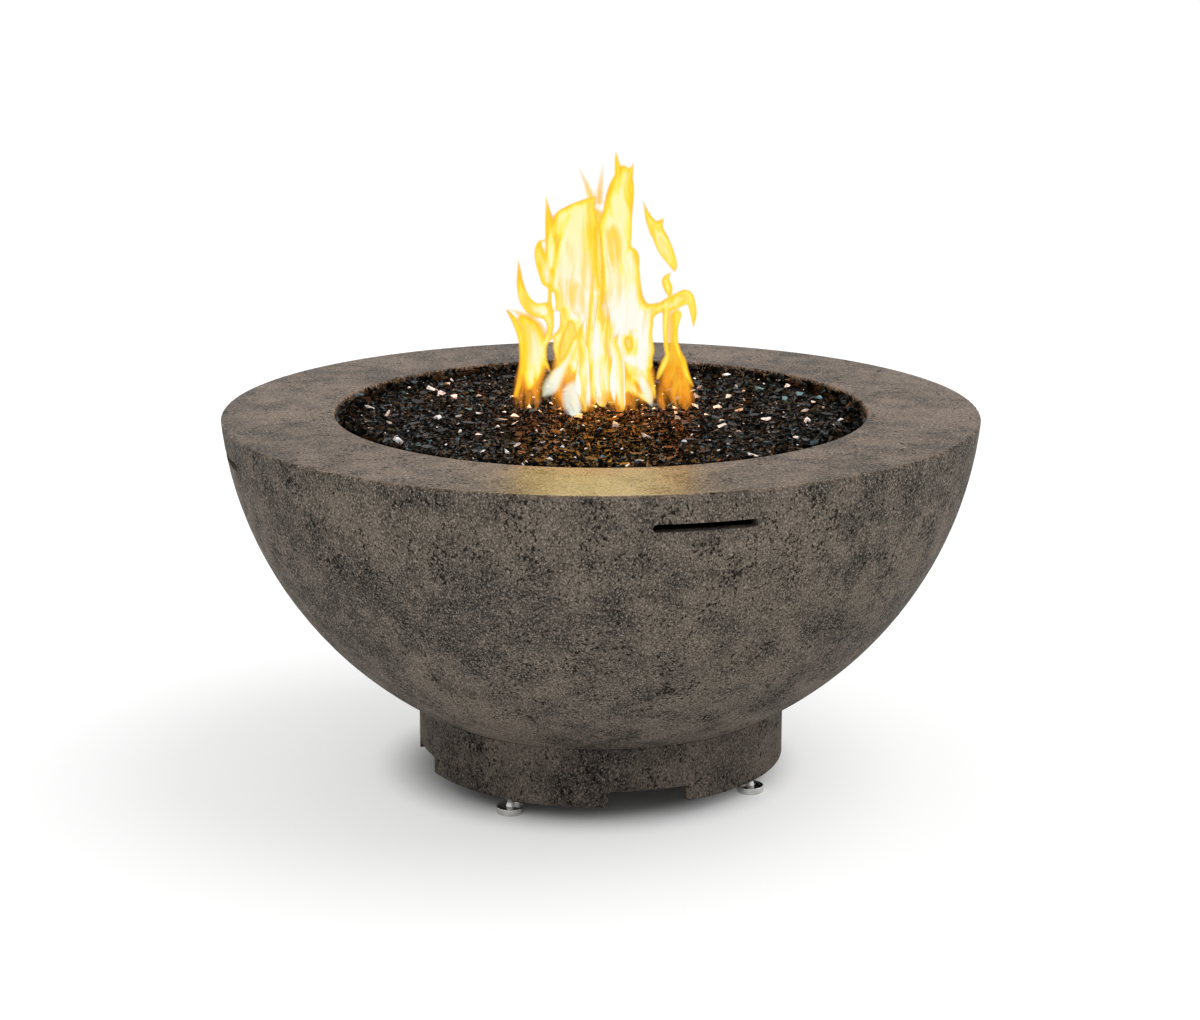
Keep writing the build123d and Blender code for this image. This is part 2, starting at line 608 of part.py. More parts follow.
with BuildPart() as pan_lock_nut:
    with BuildSketch(Plane.XY.offset(PAN_UNDERSIDE - PIPE_WASHER_THICKNESS)):
        RegularPolygon(LOCK_NUT_FLATS / 2, 6, major_radius=False)
        Circle(NIPPLE_RADIUS + PIPE_FIT, mode=Mode.SUBTRACT)
    extrude(amount=-LOCK_NUT_HEIGHT)
save(pan_lock_nut, "pan_lock_nut")

# Air mixer: socket for the nipple, tube with two air windows, and a foot that takes the jet
with BuildPart() as air_mixer:
    with BuildSketch(Plane.XZ):
        with BuildLine():
            socket_radius = NIPPLE_RADIUS + MIXER_SOCKET_WALL
            Polyline(
                (NIPPLE_RADIUS + PIPE_FIT, NIPPLE_BOTTOM + MIXER_SOCKET),
                (socket_radius, NIPPLE_BOTTOM + MIXER_SOCKET),
                (socket_radius, NIPPLE_BOTTOM),
                (MIXER_TUBE_RADIUS, MIXER_TUBE_TOP),
                (MIXER_TUBE_RADIUS, MIXER_FOOT_TOP),
                (MIXER_FOOT_RADIUS, MIXER_FOOT_TOP),
                (MIXER_FOOT_RADIUS, MIXER_BOTTOM),
                (SPUD_THREAD_RADIUS + PIPE_FIT, MIXER_BOTTOM),
                (SPUD_THREAD_RADIUS + PIPE_FIT, MIXER_BOTTOM + MIXER_END_WALL),
                (MIXER_TUBE_BORE, MIXER_BOTTOM + MIXER_END_WALL),
                (MIXER_TUBE_BORE, NIPPLE_BOTTOM),
                (NIPPLE_RADIUS + PIPE_FIT, NIPPLE_BOTTOM),
                close=True,
            )
        make_face()
    revolve(axis=Axis.Z)
    with BuildSketch(Plane.YZ):
        with Locations((0, WINDOW_MIDDLE)):
            Rectangle(WINDOW_WIDTH, WINDOW_HEIGHT)
    extrude(amount=MIXER_FOOT_RADIUS, both=True, mode=Mode.SUBTRACT)
save(air_mixer, "air_mixer")

shutter_bore = MIXER_TUBE_RADIUS + RUNNING_CLEARANCE
shutter_radius = shutter_bore + SHUTTER_WALL
screw_height = MIXER_FOOT_TOP + SHUTTER_HEIGHT - SCREW_DROP
with BuildPart() as air_shutter:
    with BuildSketch(Plane.XY.offset(MIXER_FOOT_TOP)):
        Circle(shutter_radius)
        Circle(shutter_bore, mode=Mode.SUBTRACT)
    extrude(amount=SHUTTER_HEIGHT)
    with BuildSketch(Plane.YZ):
        with Locations((0, WINDOW_MIDDLE)):
            Rectangle(WINDOW_WIDTH, WINDOW_HEIGHT)
    extrude(amount=MIXER_FOOT_RADIUS, both=True, mode=Mode.SUBTRACT)
    with BuildSketch(Plane.XZ):
        with Locations((0, screw_height)):
            Circle(SCREW_RADIUS + RUNNING_CLEARANCE)
    extrude(amount=-shutter_radius, mode=Mode.SUBTRACT)
save(air_shutter, "air_shutter")

screw_plane = Plane(origin=(0, 0, screw_height), x_dir=(1, 0, 0), z_dir=(0, 1, 0))
with BuildPart() as shutter_screw:
    with BuildSketch(screw_plane.offset(shutter_bore + SCREW_GAP)):
        Circle(SCREW_RADIUS)
    extrude(amount=SHUTTER_WALL)
    with BuildSketch(screw_plane.offset(shutter_radius + SCREW_GAP)):
        RegularPolygon(SCREW_HEAD_RADIUS, 12)
    extrude(amount=SCREW_HEAD)
save(shutter_screw, "shutter_screw")

# Gas jet, screwed into the mixer from below
with BuildPart() as orifice_spud:
    with BuildSketch(Plane.XZ):
        with BuildLine():
            jet_top = MIXER_BOTTOM + SPUD_JET_HEIGHT
            Polyline(
                (JET_BORE, jet_top),
                (SPUD_JET_RADIUS, jet_top),
                (SPUD_JET_RADIUS, MIXER_BOTTOM + MIXER_END_WALL),
                (SPUD_THREAD_RADIUS, MIXER_BOTTOM + MIXER_END_WALL),
                (SPUD_THREAD_RADIUS, MIXER_BOTTOM),
                (SPUD_THREAD_RADIUS, SPUD_HEX_BOTTOM),
                (SPUD_TAIL_RADIUS, SPUD_HEX_BOTTOM),
                (SPUD_TAIL_RADIUS, SPUD_HEX_BOTTOM - SPUD_TAIL),
                (SPUD_BORE, SPUD_HEX_BOTTOM - SPUD_TAIL),
                (SPUD_BORE, MIXER_BOTTOM),
                (JET_BORE, MIXER_BOTTOM + MIXER_END_WALL),
                close=True,
            )
        make_face()
    revolve(axis=Axis.Z)
    with BuildSketch(Plane.XY.offset(SPUD_HEX_BOTTOM)):
        RegularPolygon(SPUD_FLATS / 2, 6, major_radius=False)
        Circle(SPUD_BORE, mode=Mode.SUBTRACT)
    extrude(amount=SPUD_HEX)
save(orifice_spud, "orifice_spud")

# Elbow from the gas line up to the jet
elbow_plane = Plane(origin=(0, 0, ELBOW_HEIGHT), x_dir=(1, 0, 0), z_dir=(0, 1, 0))
with BuildPart() as mixer_elbow:
    with BuildSketch(Plane.XY.offset(ELBOW_HEIGHT)):
        Circle(ELBOW_RADIUS)
    extrude(amount=ELBOW_DROP + SPUD_TAIL)
    with Locations((0, 0, ELBOW_HEIGHT)):
        Sphere(ELBOW_RADIUS)
    with BuildSketch(elbow_plane):
        Circle(ELBOW_RADIUS)
    extrude(amount=ELBOW_REACH)
    with BuildSketch(elbow_plane):
        Circle(FLARE_RADIUS)
    extrude(amount=ELBOW_TIP)
    with BuildSketch(elbow_plane):
        Circle(FLARE_BORE)
    extrude(amount=ELBOW_TIP, mode=Mode.SUBTRACT)
    with BuildSketch(Plane.XY.offset(ELBOW_HEIGHT)):
        Circle(FLARE_BORE)
    extrude(amount=ELBOW_DROP, mode=Mode.SUBTRACT)
    with BuildSketch(Plane.XY.offset(ELBOW_HEIGHT + ELBOW_DROP)):
        Circle(SPUD_TAIL_RADIUS + PIPE_FIT)
    extrude(amount=SPUD_TAIL, mode=Mode.SUBTRACT)
save(mixer_elbow, "mixer_elbow")

# Valve body: flow tube along X with a flared end each way, and a bonnet towards the wall
with BuildPart() as valve_body:
    with BuildSketch(FLOW_PLANE):
        Circle(VALVE_RADIUS)
    extrude(amount=VALVE_HALF, both=True)
    with BuildSketch(FLOW_PLANE):
        RegularPolygon(VALVE_HEX_FLATS / 2, 6, major_radius=False)
    extrude(amount=VALVE_HALF + VALVE_HEX, both=True)
    with BuildSketch(FLOW_PLANE):
        Circle(FLARE_RADIUS)
    extrude(amount=VALVE_TIP, both=True)
    with BuildSketch(VALVE_PLANE):
        Circle(BONNET_RADIUS)
    extrude(amount=BONNET_RISE)
    with BuildSketch(VALVE_PLANE):
        Circle(SLEEVE_BORE - PIPE_FIT)
    extrude(amount=BONNET_RISE + BONNET_SPIGOT)
    with BuildSketch(FLOW_PLANE):
        Circle(FLARE_BORE)
    extrude(amount=VALVE_TIP, both=True, mode=Mode.SUBTRACT)
    with BuildSketch(FLOW_PLANE):
        Circle(BALL_RADIUS + CHAMBER_CLEARANCE)
    extrude(amount=CHAMBER_HALF, both=True, mode=Mode.SUBTRACT)
    with BuildSketch(VALVE_PLANE):
        Circle(STEM_RADIUS + RUNNING_CLEARANCE)
    extrude(amount=BONNET_RISE + BONNET_SPIGOT, mode=Mode.SUBTRACT)
    with BuildSketch(VALVE_PLANE.offset(BONNET_RISE)):
        Circle(PACKING_SPIGOT_RADIUS + PIPE_FIT)
    extrude(amount=BONNET_SPIGOT, mode=Mode.SUBTRACT)
save(valve_body, "valve_body")

# Ball with its bore and the slot that the stem turns it by
slot_floor = BALL_RADIUS - SLOT_IN_BALL
with BuildPart() as valve_ball:
    with Locations(VALVE_CENTRE):
        Sphere(BALL_RADIUS)
    with BuildSketch(FLOW_PLANE):
        Circle(FLARE_BORE)
    extrude(amount=BALL_RADIUS, both=True, mode=Mode.SUBTRACT)
    with BuildSketch(VALVE_PLANE.offset(slot_floor)):
        Rectangle(2 * BALL_RADIUS, TANG_WIDTH + 2 * TANG_CLEARANCE)
    extrude(amount=BALL_RADIUS, mode=Mode.SUBTRACT)
save(valve_ball, "valve_ball")

# Seat rings on both sides of the ball
seat_sphere = BALL_RADIUS + RUNNING_CLEARANCE
seat_outer = BALL_RADIUS + CHAMBER_CLEARANCE - PIPE_FIT
with BuildPart() as valve_seats:
    for side in (1, -1):
        across = (0, side * KEY_SINE, side * KEY_COSINE)
        with BuildSketch(Plane(origin=VALVE_CENTRE, x_dir=(side, 0, 0), z_dir=across)):
            with BuildLine():
                throat = (sqrt(seat_sphere**2 - FLARE_BORE**2), FLARE_BORE)
                face = (SEAT_INNER_FACE, sqrt(seat_sphere**2 - SEAT_INNER_FACE**2))
                RadiusArc(throat, face, -seat_sphere)
                Polyline(
                    face,
                    (SEAT_INNER_FACE, seat_outer),
                    (CHAMBER_HALF, seat_outer),
                    (CHAMBER_HALF, FLARE_BORE),
                    throat,
                )
            make_face()
        revolve(axis=Axis(VALVE_CENTRE, (1, 0, 0)))
save(valve_seats, "valve_seats")

# Stem: tang in the ball, round shank, square end for the key
packing_seat = BONNET_RISE + BONNET_SPIGOT
square_foot = packing_seat + PACKING_HEX
stem_foot = BALL_RADIUS + CHAMBER_CLEARANCE
with BuildPart() as valve_stem:
    with BuildSketch(VALVE_PLANE.offset(slot_floor + TANG_CLEARANCE)):
        Circle(STEM_RADIUS)
        Rectangle(2 * STEM_RADIUS, TANG_WIDTH, mode=Mode.INTERSECT)
    extrude(amount=stem_foot - slot_floor)
    with BuildSketch(VALVE_PLANE.offset(stem_foot)):
        Circle(STEM_RADIUS)
    extrude(amount=square_foot - stem_foot)
    with BuildSketch(VALVE_PLANE.offset(square_foot)):
        Circle(STEM_RADIUS)
        Rectangle(STEM_SQUARE, STEM_SQUARE, mode=Mode.INTERSECT)
    extrude(amount=STEM_SQUARE_LENGTH)
save(valve_stem, "valve_stem")

with BuildPart() as packing_nut:
    with BuildSketch(VALVE_PLANE.offset(BONNET_RISE)):
        Circle(PACKING_SPIGOT_RADIUS)
        Circle(STEM_RADIUS + RUNNING_CLEARANCE, mode=Mode.SUBTRACT)
    extrude(amount=BONNET_SPIGOT)
    with BuildSketch(VALVE_PLANE.offset(packing_seat)):
        RegularPolygon(PACKING_FLATS / 2, 6, major_radius=False)
        Circle(STEM_RADIUS + RUNNING_CLEARANCE, mode=Mode.SUBTRACT)
    extrude(amount=PACKING_HEX)
save(packing_nut, "packing_nut")

# Sleeve through the wall, with the flange outside and the nut inside
with BuildPart() as key_sleeve:
    with BuildSketch(KEY_PLANE.offset(SLEEVE_BOTTOM)):
        Circle(SLEEVE_RADIUS)
        Circle(SLEEVE_BORE, mode=Mode.SUBTRACT)
    extrude(amount=SLEEVE_LENGTH)
save(key_sleeve, "key_sleeve")

with BuildPart() as key_flange:
    with BuildSketch(KEY_PLANE.offset(-KEY_SEAT_DEPTH)):
        Circle(FLANGE_RADIUS)
        Circle(SLEEVE_BORE, mode=Mode.SUBTRACT)
    extrude(amount=FLANGE_THICKNESS)
    rim_edge = key_flange.edges().filter_by(GeomType.CIRCLE).group_by(SortBy.RADIUS)[-1]
    chamfer(rim_edge.sort_by(Axis(KEY_PLANE.origin, KEY_PLANE.z_dir))[-1], FLANGE_EDGE)
    with BuildSketch(KEY_PLANE.offset(-KEY_SEAT_DEPTH)):
        Circle(SLEEVE_RADIUS + PIPE_FIT)
    extrude(amount=FLANGE_THICKNESS - FLANGE_FACE, mode=Mode.SUBTRACT)
save(key_flange, "key_flange")

with BuildPart() as wall_nut:
    with BuildSketch(KEY_PLANE.offset(WALL_NUT_SEAT_DEPTH - BOWL_WALL)):
        RegularPolygon(WALL_NUT_FLATS / 2, 6, major_radius=False)
        Circle(SLEEVE_RADIUS + PIPE_FIT, mode=Mode.SUBTRACT)
    extrude(amount=-WALL_NUT_HEIGHT)
save(wall_nut, "wall_nut")

# Gas inlet: bulkhead fitting on an angle bracket under the flange of the base
inlet_plane = Plane(origin=(0, BRACKET_FACE, INLET_HEIGHT), x_dir=(1, 0, 0), z_dir=(0, 1, 0))
with BuildPart() as inlet_fitting:
    with BuildSketch(inlet_plane.offset(-INLET_TAIL)):
        Circle(FLARE_RADIUS)
    extrude(amount=INLET_TAIL + INLET_REACH)
    with BuildSketch(inlet_plane):
        RegularPolygon(INLET_HEX_FLATS / 2, 6, major_radius=False)
    extrude(amount=INLET_HEX)
    with BuildSketch(inlet_plane.offset(-INLET_TAIL)):
        Circle(FLARE_BORE)
    extrude(amount=INLET_TAIL + INLET_REACH, mode=Mode.SUBTRACT)
save(inlet_fitting, "inlet_fitting")

with BuildPart() as inlet_nut:
    with BuildSketch(inlet_plane.offset(-BRACKET_SHEET)):
        RegularPolygon(INLET_HEX_FLATS / 2, 6, major_radius=False)
        Circle(FLARE_RADIUS + PIPE_FIT, mode=Mode.SUBTRACT)
    extrude(amount=-INLET_NUT)
save(inlet_nut, "inlet_nut")

with BuildPart() as inlet_bracket:
    with BuildSketch(Plane.YZ):
        with BuildLine():
            tab_end = BRACKET_FACE - BRACKET_TAB
            plate_foot = INLET_HEIGHT - BRACKET_MARGIN
            Polyline(
                (BRACKET_FACE, plate_foot),
                (BRACKET_FACE, FLANGE_UNDERSIDE),
                (tab_end, FLANGE_UNDERSIDE),
                (tab_end, FLANGE_UNDERSIDE - BRACKET_SHEET),
                (BRACKET_FACE - BRACKET_SHEET, FLANGE_UNDERSIDE - BRACKET_SHEET),
                (BRACKET_FACE - BRACKET_SHEET, plate_foot),
                close=True,
            )
        make_face()
    extrude(amount=BRACKET_WIDTH / 2, both=True)
    with BuildSketch(inlet_plane):
        Circle(FLARE_RADIUS + BRACKET_HOLE_CLEARANCE)
    extrude(amount=-BRACKET_SHEET, mode=Mode.SUBTRACT)
    with BuildSketch(Plane.XY.offset(FLANGE_UNDERSIDE)):
        with Locations((0, BRACKET_FACE - BRACKET_TAB / 2)):
            with GridLocations(BRACKET_SCREW_SPACING, 0, 2, 1):
                Circle(BRACKET_SCREW_RADIUS + BRACKET_HOLE_CLEARANCE)
    extrude(amount=-BRACKET_SHEET, mode=Mode.SUBTRACT)
save(inlet_bracket, "inlet_bracket")

with BuildPart() as bracket_screws:
    screw_seat = FLANGE_UNDERSIDE - BRACKET_SHEET
    with BuildSketch(Plane.XY.offset(screw_seat)):
        with Locations((0, BRACKET_FACE - BRACKET_TAB / 2)):
            with GridLocations(BRACKET_SCREW_SPACING, 0, 2, 1):
                Circle(BRACKET_SCREW_HEAD_RADIUS)
    extrude(amount=-BRACKET_SCREW_HEAD)
    with BuildSketch(Plane.XY.offset(screw_seat)):
        with Locations((0, BRACKET_FACE - BRACKET_TAB / 2)):
            with GridLocations(BRACKET_SCREW_SPACING, 0, 2, 1):
                Circle(BRACKET_SCREW_RADIUS)
    extrude(amount=BRACKET_SHEET + BRACKET_SCREW_DEPTH)
save(bracket_screws, "bracket_screws")

# Flare nuts on the four flared ends; each plane stands on a tip and points along the gas line
flare_tips = (
    Plane(origin=VALVE_CENTRE + Vector(VALVE_TIP, 0, 0), z_dir=(1, 0, 0)),
    Plane(origin=VALVE_CENTRE - Vector(VALVE_TIP, 0, 0), z_dir=(-1, 0, 0)),
    Plane(origin=(0, ELBOW_TIP, ELBOW_HEIGHT), z_dir=(0, 1, 0)),
    Plane(origin=(0, INLET_TIP, INLET_HEIGHT), z_dir=(0, -1, 0)),
)
with BuildPart() as flare_nuts:
    for tip in flare_tips:
        with BuildSketch(tip):
            RegularPolygon(FLARE_NUT_FLATS / 2, 6, major_radius=False)
        extrude(amount=FLARE_NUT_HALF, both=True)
        with BuildSketch(tip):
            Circle(FLARE_RADIUS + PIPE_FIT)
        extrude(amount=-FLARE_NUT_HALF, mode=Mode.SUBTRACT)
        with BuildSketch(tip):
            Circle(FLEX_RADIUS + PIPE_FIT)
        extrude(amount=FLARE_NUT_HALF, mode=Mode.SUBTRACT)
save(flare_nuts, "flare_nuts")

# Corrugated gas lines, as straight runs joined by arcs as large as the runs allow
valve_out, valve_in, elbow_in, inlet_out = (tip.origin for tip in flare_tips)
FLEX_ROUTES = {
    "flex_line_upper": (
        elbow_in,
        (0, 300, ELBOW_HEIGHT),
        VALVE_CENTRE + Vector(150, -92, -19),
        VALVE_CENTRE + Vector(150, 0, 0),
        valve_out,
    ),
    "flex_line_lower": (
        valve_in,
        VALVE_CENTRE + Vector(-140, 0, 0),
        VALVE_CENTRE + Vector(-150, -102, -119),
        (0, 55, 240),
        (0, 60, 80),
        (0, 140, INLET_HEIGHT),
        inlet_out,
    ),
}
for line_name, route in FLEX_ROUTES.items():
    points = [Vector(point) for point in route]
    bend_radii = []
    for before, corner, after in zip(points, points[1:], points[2:]):
        turn = radians((corner - before).get_angle(after - corner))
        shorter = min((corner - before).length, (after - corner).length)
        bend_radii.append(FLEX_BEND_SHARE * shorter / tan(turn / 2))
    with BuildPart() as flex_line:
        with BuildLine() as centre_line:
            FilletPolyline(*points, radius=bend_radii)
        with BuildSketch(Plane(origin=centre_line.line @ 0, z_dir=centre_line.line % 0)):
            Circle(FLEX_RADIUS)
            Circle(FLEX_RADIUS - FLEX_WALL, mode=Mode.SUBTRACT)
        sweep()
    section = pi * (FLEX_RADIUS**2 - (FLEX_RADIUS - FLEX_WALL) ** 2)
    length = sum(edge.length for edge in centre_line.edges())
    print(
        f"{line_name}: length {length:.0f} mm, bend radii {[round(r) for r in bend_radii]},",
        f"volume over section times length {flex_line.part.volume / (section * length):.4f}",
    )
    save(flex_line, line_name)

# Larger pieces of fire glass, in a few broken shapes, on a sunflower spiral over the bed
chunk_shapes = []
for outline in CHUNK_OUTLINES:
    with BuildPart() as chunk:
        with BuildSketch():
            Polygon(*[(x * CHUNK_LENGTH, y * CHUNK_WIDTH) for x, y in outline], align=None)
        extrude(amount=CHUNK_THICKNESS, taper=CHUNK_TAPER)
    chunk_shapes.append(chunk.part)
bed_radius = OPENING_RADIUS - GLASS_CLEARANCE
glass_edge = RIM_HEIGHT - GLASS_EDGE_DROP
chunk_reach = bed_radius - CHUNK_LENGTH
chunk_count = round(pi * chunk_reach**2 / CHUNK_SPACING**2)
chunks = []
for number in range(chunk_count):
    reach = chunk_reach * sqrt((number + 0.5) / chunk_count)
    turn = radians(number * GOLDEN_ANGLE)
    bed_height = glass_edge + GLASS_CROWN * (1 - reach / bed_radius)
    place = (reach * cos(turn), reach * sin(turn), bed_height + CHUNK_STAND - CHUNK_THICKNESS)
    tilt = (CHUNK_TILT * sin(number), CHUNK_TILT * cos(number), 2 * number * GOLDEN_ANGLE)
    chunks.append(chunk_shapes[number % len(chunk_shapes)].moved(Location(place, tilt)))

# Fire glass: one closed bed that fills the pan, with grooves where the burner lies
with BuildPart() as fire_glass_bed:
    with BuildSketch(Plane.XZ) as bed:
        with BuildLine():
            bed_bottom_radius = PAN_RADIUS - SHEET - GLASS_CLEARANCE
            pan_top = LEDGE_HEIGHT + SHEET
            Polyline(
                (0, glass_edge + GLASS_CROWN),
                (0, PAN_FLOOR),
                (bed_bottom_radius - GLASS_CORNER, PAN_FLOOR),
                (bed_bottom_radius, PAN_FLOOR + GLASS_CORNER),
                (bed_bottom_radius, pan_top),
                (bed_radius, pan_top),
                (bed_radius, glass_edge),
                close=True,
            )
        make_face()
    revolve(axis=Axis.Z)
    with BuildSketch(Plane.XY.offset(PAN_FLOOR)):
        for angle in spoke_angles[: SPOKE_COUNT // 2]:
            Rectangle(2 * (SPOKE_LENGTH + BURNER_GAP), 2 * (SPOKE_RADIUS + BURNER_GAP), rotation=angle)
    extrude(amount=BURNER_RISE + SPOKE_RADIUS + BURNER_GAP, mode=Mode.SUBTRACT)
    with BuildSketch(Plane.XY.offset(PAN_FLOOR)):
        Circle(max(HUB_RADIUS, PIPE_WASHER_RADIUS) + BURNER_GAP)
    extrude(amount=BURNER_RISE + HUB_CROWN + BURNER_GAP, mode=Mode.SUBTRACT)
    add(chunks)
save(fire_glass_bed, "fire_glass_bed")
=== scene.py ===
"""Looks of a propane fire bowl: cast concrete, fire glass, gas train, flame and a plain white studio.

Every length in a class is in metres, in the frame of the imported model: +Z up, origin on the ground under
the middle of the bowl, +Y to the rear.
"""

import json
import logging
import math
import random
from dataclasses import dataclass, field, replace
from enum import Enum
from functools import cache

import bmesh
import bpy
import numpy as np
from mathutils import Matrix, Vector

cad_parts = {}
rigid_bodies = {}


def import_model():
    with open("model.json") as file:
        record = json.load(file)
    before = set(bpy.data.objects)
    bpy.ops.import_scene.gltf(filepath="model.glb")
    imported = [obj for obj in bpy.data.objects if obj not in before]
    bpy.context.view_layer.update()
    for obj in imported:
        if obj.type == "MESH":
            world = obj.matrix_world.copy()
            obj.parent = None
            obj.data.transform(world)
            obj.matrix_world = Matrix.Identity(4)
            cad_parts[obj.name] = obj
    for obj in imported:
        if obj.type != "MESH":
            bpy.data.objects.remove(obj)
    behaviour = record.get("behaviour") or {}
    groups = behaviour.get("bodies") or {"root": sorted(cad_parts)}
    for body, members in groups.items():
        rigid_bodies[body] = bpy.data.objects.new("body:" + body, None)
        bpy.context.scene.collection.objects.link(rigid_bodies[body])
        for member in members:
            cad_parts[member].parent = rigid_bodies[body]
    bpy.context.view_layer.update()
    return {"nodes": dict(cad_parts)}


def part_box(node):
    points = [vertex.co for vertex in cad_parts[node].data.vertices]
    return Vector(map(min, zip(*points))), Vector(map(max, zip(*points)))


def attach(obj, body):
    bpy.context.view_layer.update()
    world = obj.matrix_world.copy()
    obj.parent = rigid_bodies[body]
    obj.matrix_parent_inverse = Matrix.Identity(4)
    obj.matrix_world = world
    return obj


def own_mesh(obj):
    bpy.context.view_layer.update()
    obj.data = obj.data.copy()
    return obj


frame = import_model()

log = logging.getLogger("fire_bowl")

Socket = bpy.types.NodeSocket
Node = bpy.types.Node
Tree = bpy.types.NodeTree
Object = bpy.types.Object
Colour = tuple[float, float, float]
Point = tuple[float, float, float]
Band = tuple[float, float]
Pair = tuple[float, float]
Line = tuple[Point, ...]
Stops = tuple[tuple[float, Colour], ...]
Feed = Socket | float | int | tuple

MM = 0.001
GLASS_REACH = 0.4205
LEVEL: Point = (1.0, 1.0, 0.0)
# Nearly all values of a noise lie in this band
NOISE: Band = (0.3, 0.7)


def screen(red: int, green: int, blue: int) -> Colour:
    """Linear colour of a screen colour.

    Args:
        red: Red of the screen colour, 0 to 255.
        green: Green, 0 to 255.
        blue: Blue, 0 to 255.

    Returns:
        The three linear values that the shaders take.
    """
    def linear(value: int) -> float:
        """Linear value of one screen channel."""
        share = value / 255
        return share / 12.92 if share <= 0.04045 else ((share + 0.055) / 1.055) ** 2.4

    return linear(red), linear(green), linear(blue)


class Shade:
    """A node tree in the making, with short calls that add nodes and join them."""

    def __init__(self, tree: Tree) -> None:
        """Take the tree that the nodes go into."""
        self.tree = tree

    def feed(self, socket: Socket, value: Feed) -> None:
        """Join a socket to another one, or set its own value.

        Args:
            socket: The input to feed.
            value: An output socket, or a plain value.
        """
        if isinstance(value, Socket):
            self.tree.links.new(value, socket)
        elif isinstance(value, tuple) and len(value) == 3 and socket.type == "RGBA":
            socket.default_value = (*value, 1.0)
        else:
            socket.default_value = value

    def node(self, kind: str, settings: dict | None = None, **inputs: Feed) -> Node:
        """Add a node.

        Args:
            kind: Blender's name of the node's type.
            settings: Properties of the node itself.
            inputs: Values or sockets by input name, with _ for a space.

        Returns:
            The new node.
        """
        made = self.tree.nodes.new(kind)
        for key, value in (settings or {}).items():
            setattr(made, key, value)
        for key, value in inputs.items():
            self.feed(made.inputs[key.replace("_", " ")], value)
        return made

    def step(self, kind: str, settings: dict, *values: Feed) -> Node:
        """Add a node that takes its inputs in order.

        Args:
            kind: Blender's name of the node's type.
            settings: Properties of the node itself.
            values: Values or sockets, from the first input on.

        Returns:
            The new node.
        """
        made = self.node(kind, settings)
        for socket, value in zip(made.inputs, values):
            self.feed(socket, value)
        return made

    def math(self, operation: str, first: Feed, second: Feed, clamp: bool = False) -> Socket:
        """One arithmetic step, held between 0 and 1 where clamp says so."""
        settings = {"operation": operation, "use_clamp": clamp}
        return self.step("ShaderNodeMath", settings, first, second).outputs[0]

    def vectors(self, operation: str, *values: Feed) -> Node:
        """One step on vectors."""
        return self.step("ShaderNodeVectorMath", {"operation": operation}, *values)

    def mix(self, factor: Feed, first: Feed, second: Feed, blend: str = "MIX") -> Socket:
        """Mix two colours.

        Args:
            factor: Share of the second colour.
            first: Colour or socket.
            second: Colour or socket.
            blend: Blender's name of the way to mix.

        Returns:
            The mixed colour's socket.
        """
        made = self.node("ShaderNodeMix", {"data_type": "RGBA", "blend_type": blend})
        by_kind = [s for s in made.inputs if s.type == "RGBA"]
        self.feed(made.inputs[0], factor)
        self.feed(by_kind[0], first)
        self.feed(by_kind[1], second)
        return next(s for s in made.outputs if s.type == "RGBA")

    def span(self, value: Feed, low: Feed, high: Feed, to_low: Feed = 0.0, to_high: Feed = 1.0) -> Socket:
        """Map a stretch of values smoothly onto another, held at its ends.

        Args:
            value: The value to map.
            low: Where the stretch starts.
            high: Where it ends.
            to_low: Result at its start.
            to_high: Result at its end.

        Returns:
            The mapped value's socket.
        """
        made = self.node(
            "ShaderNodeMapRange", {"interpolation_type": "SMOOTHSTEP"},
            Value=value, From_Min=low, From_Max=high, To_Min=to_low, To_Max=to_high,
        )
        return made.outputs["Result"]

    def ramp(self, factor: Feed, stops: Stops, steps: bool = False) -> Socket:
        """A colour ramp.

        Args:
            factor: Where on the ramp, 0 to 1.
            stops: Places and colours.
            steps: Whether the colours change in steps.

        Returns:
            The colour's socket.
        """
        made = self.node("ShaderNodeValToRGB", Fac=factor)
        made.color_ramp.interpolation = "CONSTANT" if steps else "LINEAR"
        elements = made.color_ramp.elements
        while len(elements) < len(stops):
            elements.new(1.0)
        for element, (place, colour) in zip(elements, stops):
            element.position = place
            element.color = (*colour, 1.0)
        return made.outputs["Color"]

    def noise(self, vector: Feed, scale: Feed, detail: float = 2.0, roughness: float = 0.5) -> Socket:
        """Plain noise.

        Args:
            vector: Place to read it at.
            scale: Spots to a metre.
            detail: How many finer layers it has.
            roughness: How strong the finer layers are.

        Returns:
            The noise value's socket.
        """
        made = self.node("ShaderNodeTexNoise", Vector=vector, Scale=scale, Detail=detail, Roughness=roughness)
        return made.outputs["Fac"]

    def stretch(self, vector: Feed, factors: Point, move: Point = (0.0, 0.0, 0.0)) -> Socket:
        """Stretch a vector by a factor along each axis, and move it afterwards."""
        return self.node("ShaderNodeMapping", Vector=vector, Location=move, Scale=factors).outputs["Vector"]

    def move(self, vector: Feed, by: Point) -> Socket:
        """Move a vector."""
        return self.stretch(vector, (1.0, 1.0, 1.0), by)

    def off_axis(self, place: Feed) -> Socket:
        """Level distance of a place from the upright axis of the frame."""
        return self.vectors("LENGTH", self.vectors("MULTIPLY", place, LEVEL).outputs[0]).outputs["Value"]

    def place(self) -> Socket:
        """Place on the piece, which is its place in the frame."""
        return self.node("ShaderNodeTexCoord").outputs["Object"]

    def attribute(self, name: str) -> Socket:
        """Value that the mesh holds under a name."""
        return self.node("ShaderNodeAttribute", {"attribute_name": name}).outputs["Fac"]

    def group(self, tree: Tree, **inputs: Feed) -> Node:
        """Place a shared effect, with its inputs by name."""
        return self.node("ShaderNodeGroup", {"node_tree": tree}, **inputs)

    def bump(self, height: Feed, strength: float, depth: float) -> Socket:
        """Normal of a surface with small relief of that depth."""
        return self.node("ShaderNodeBump", Strength=strength, Distance=depth, Height=height).outputs["Normal"]

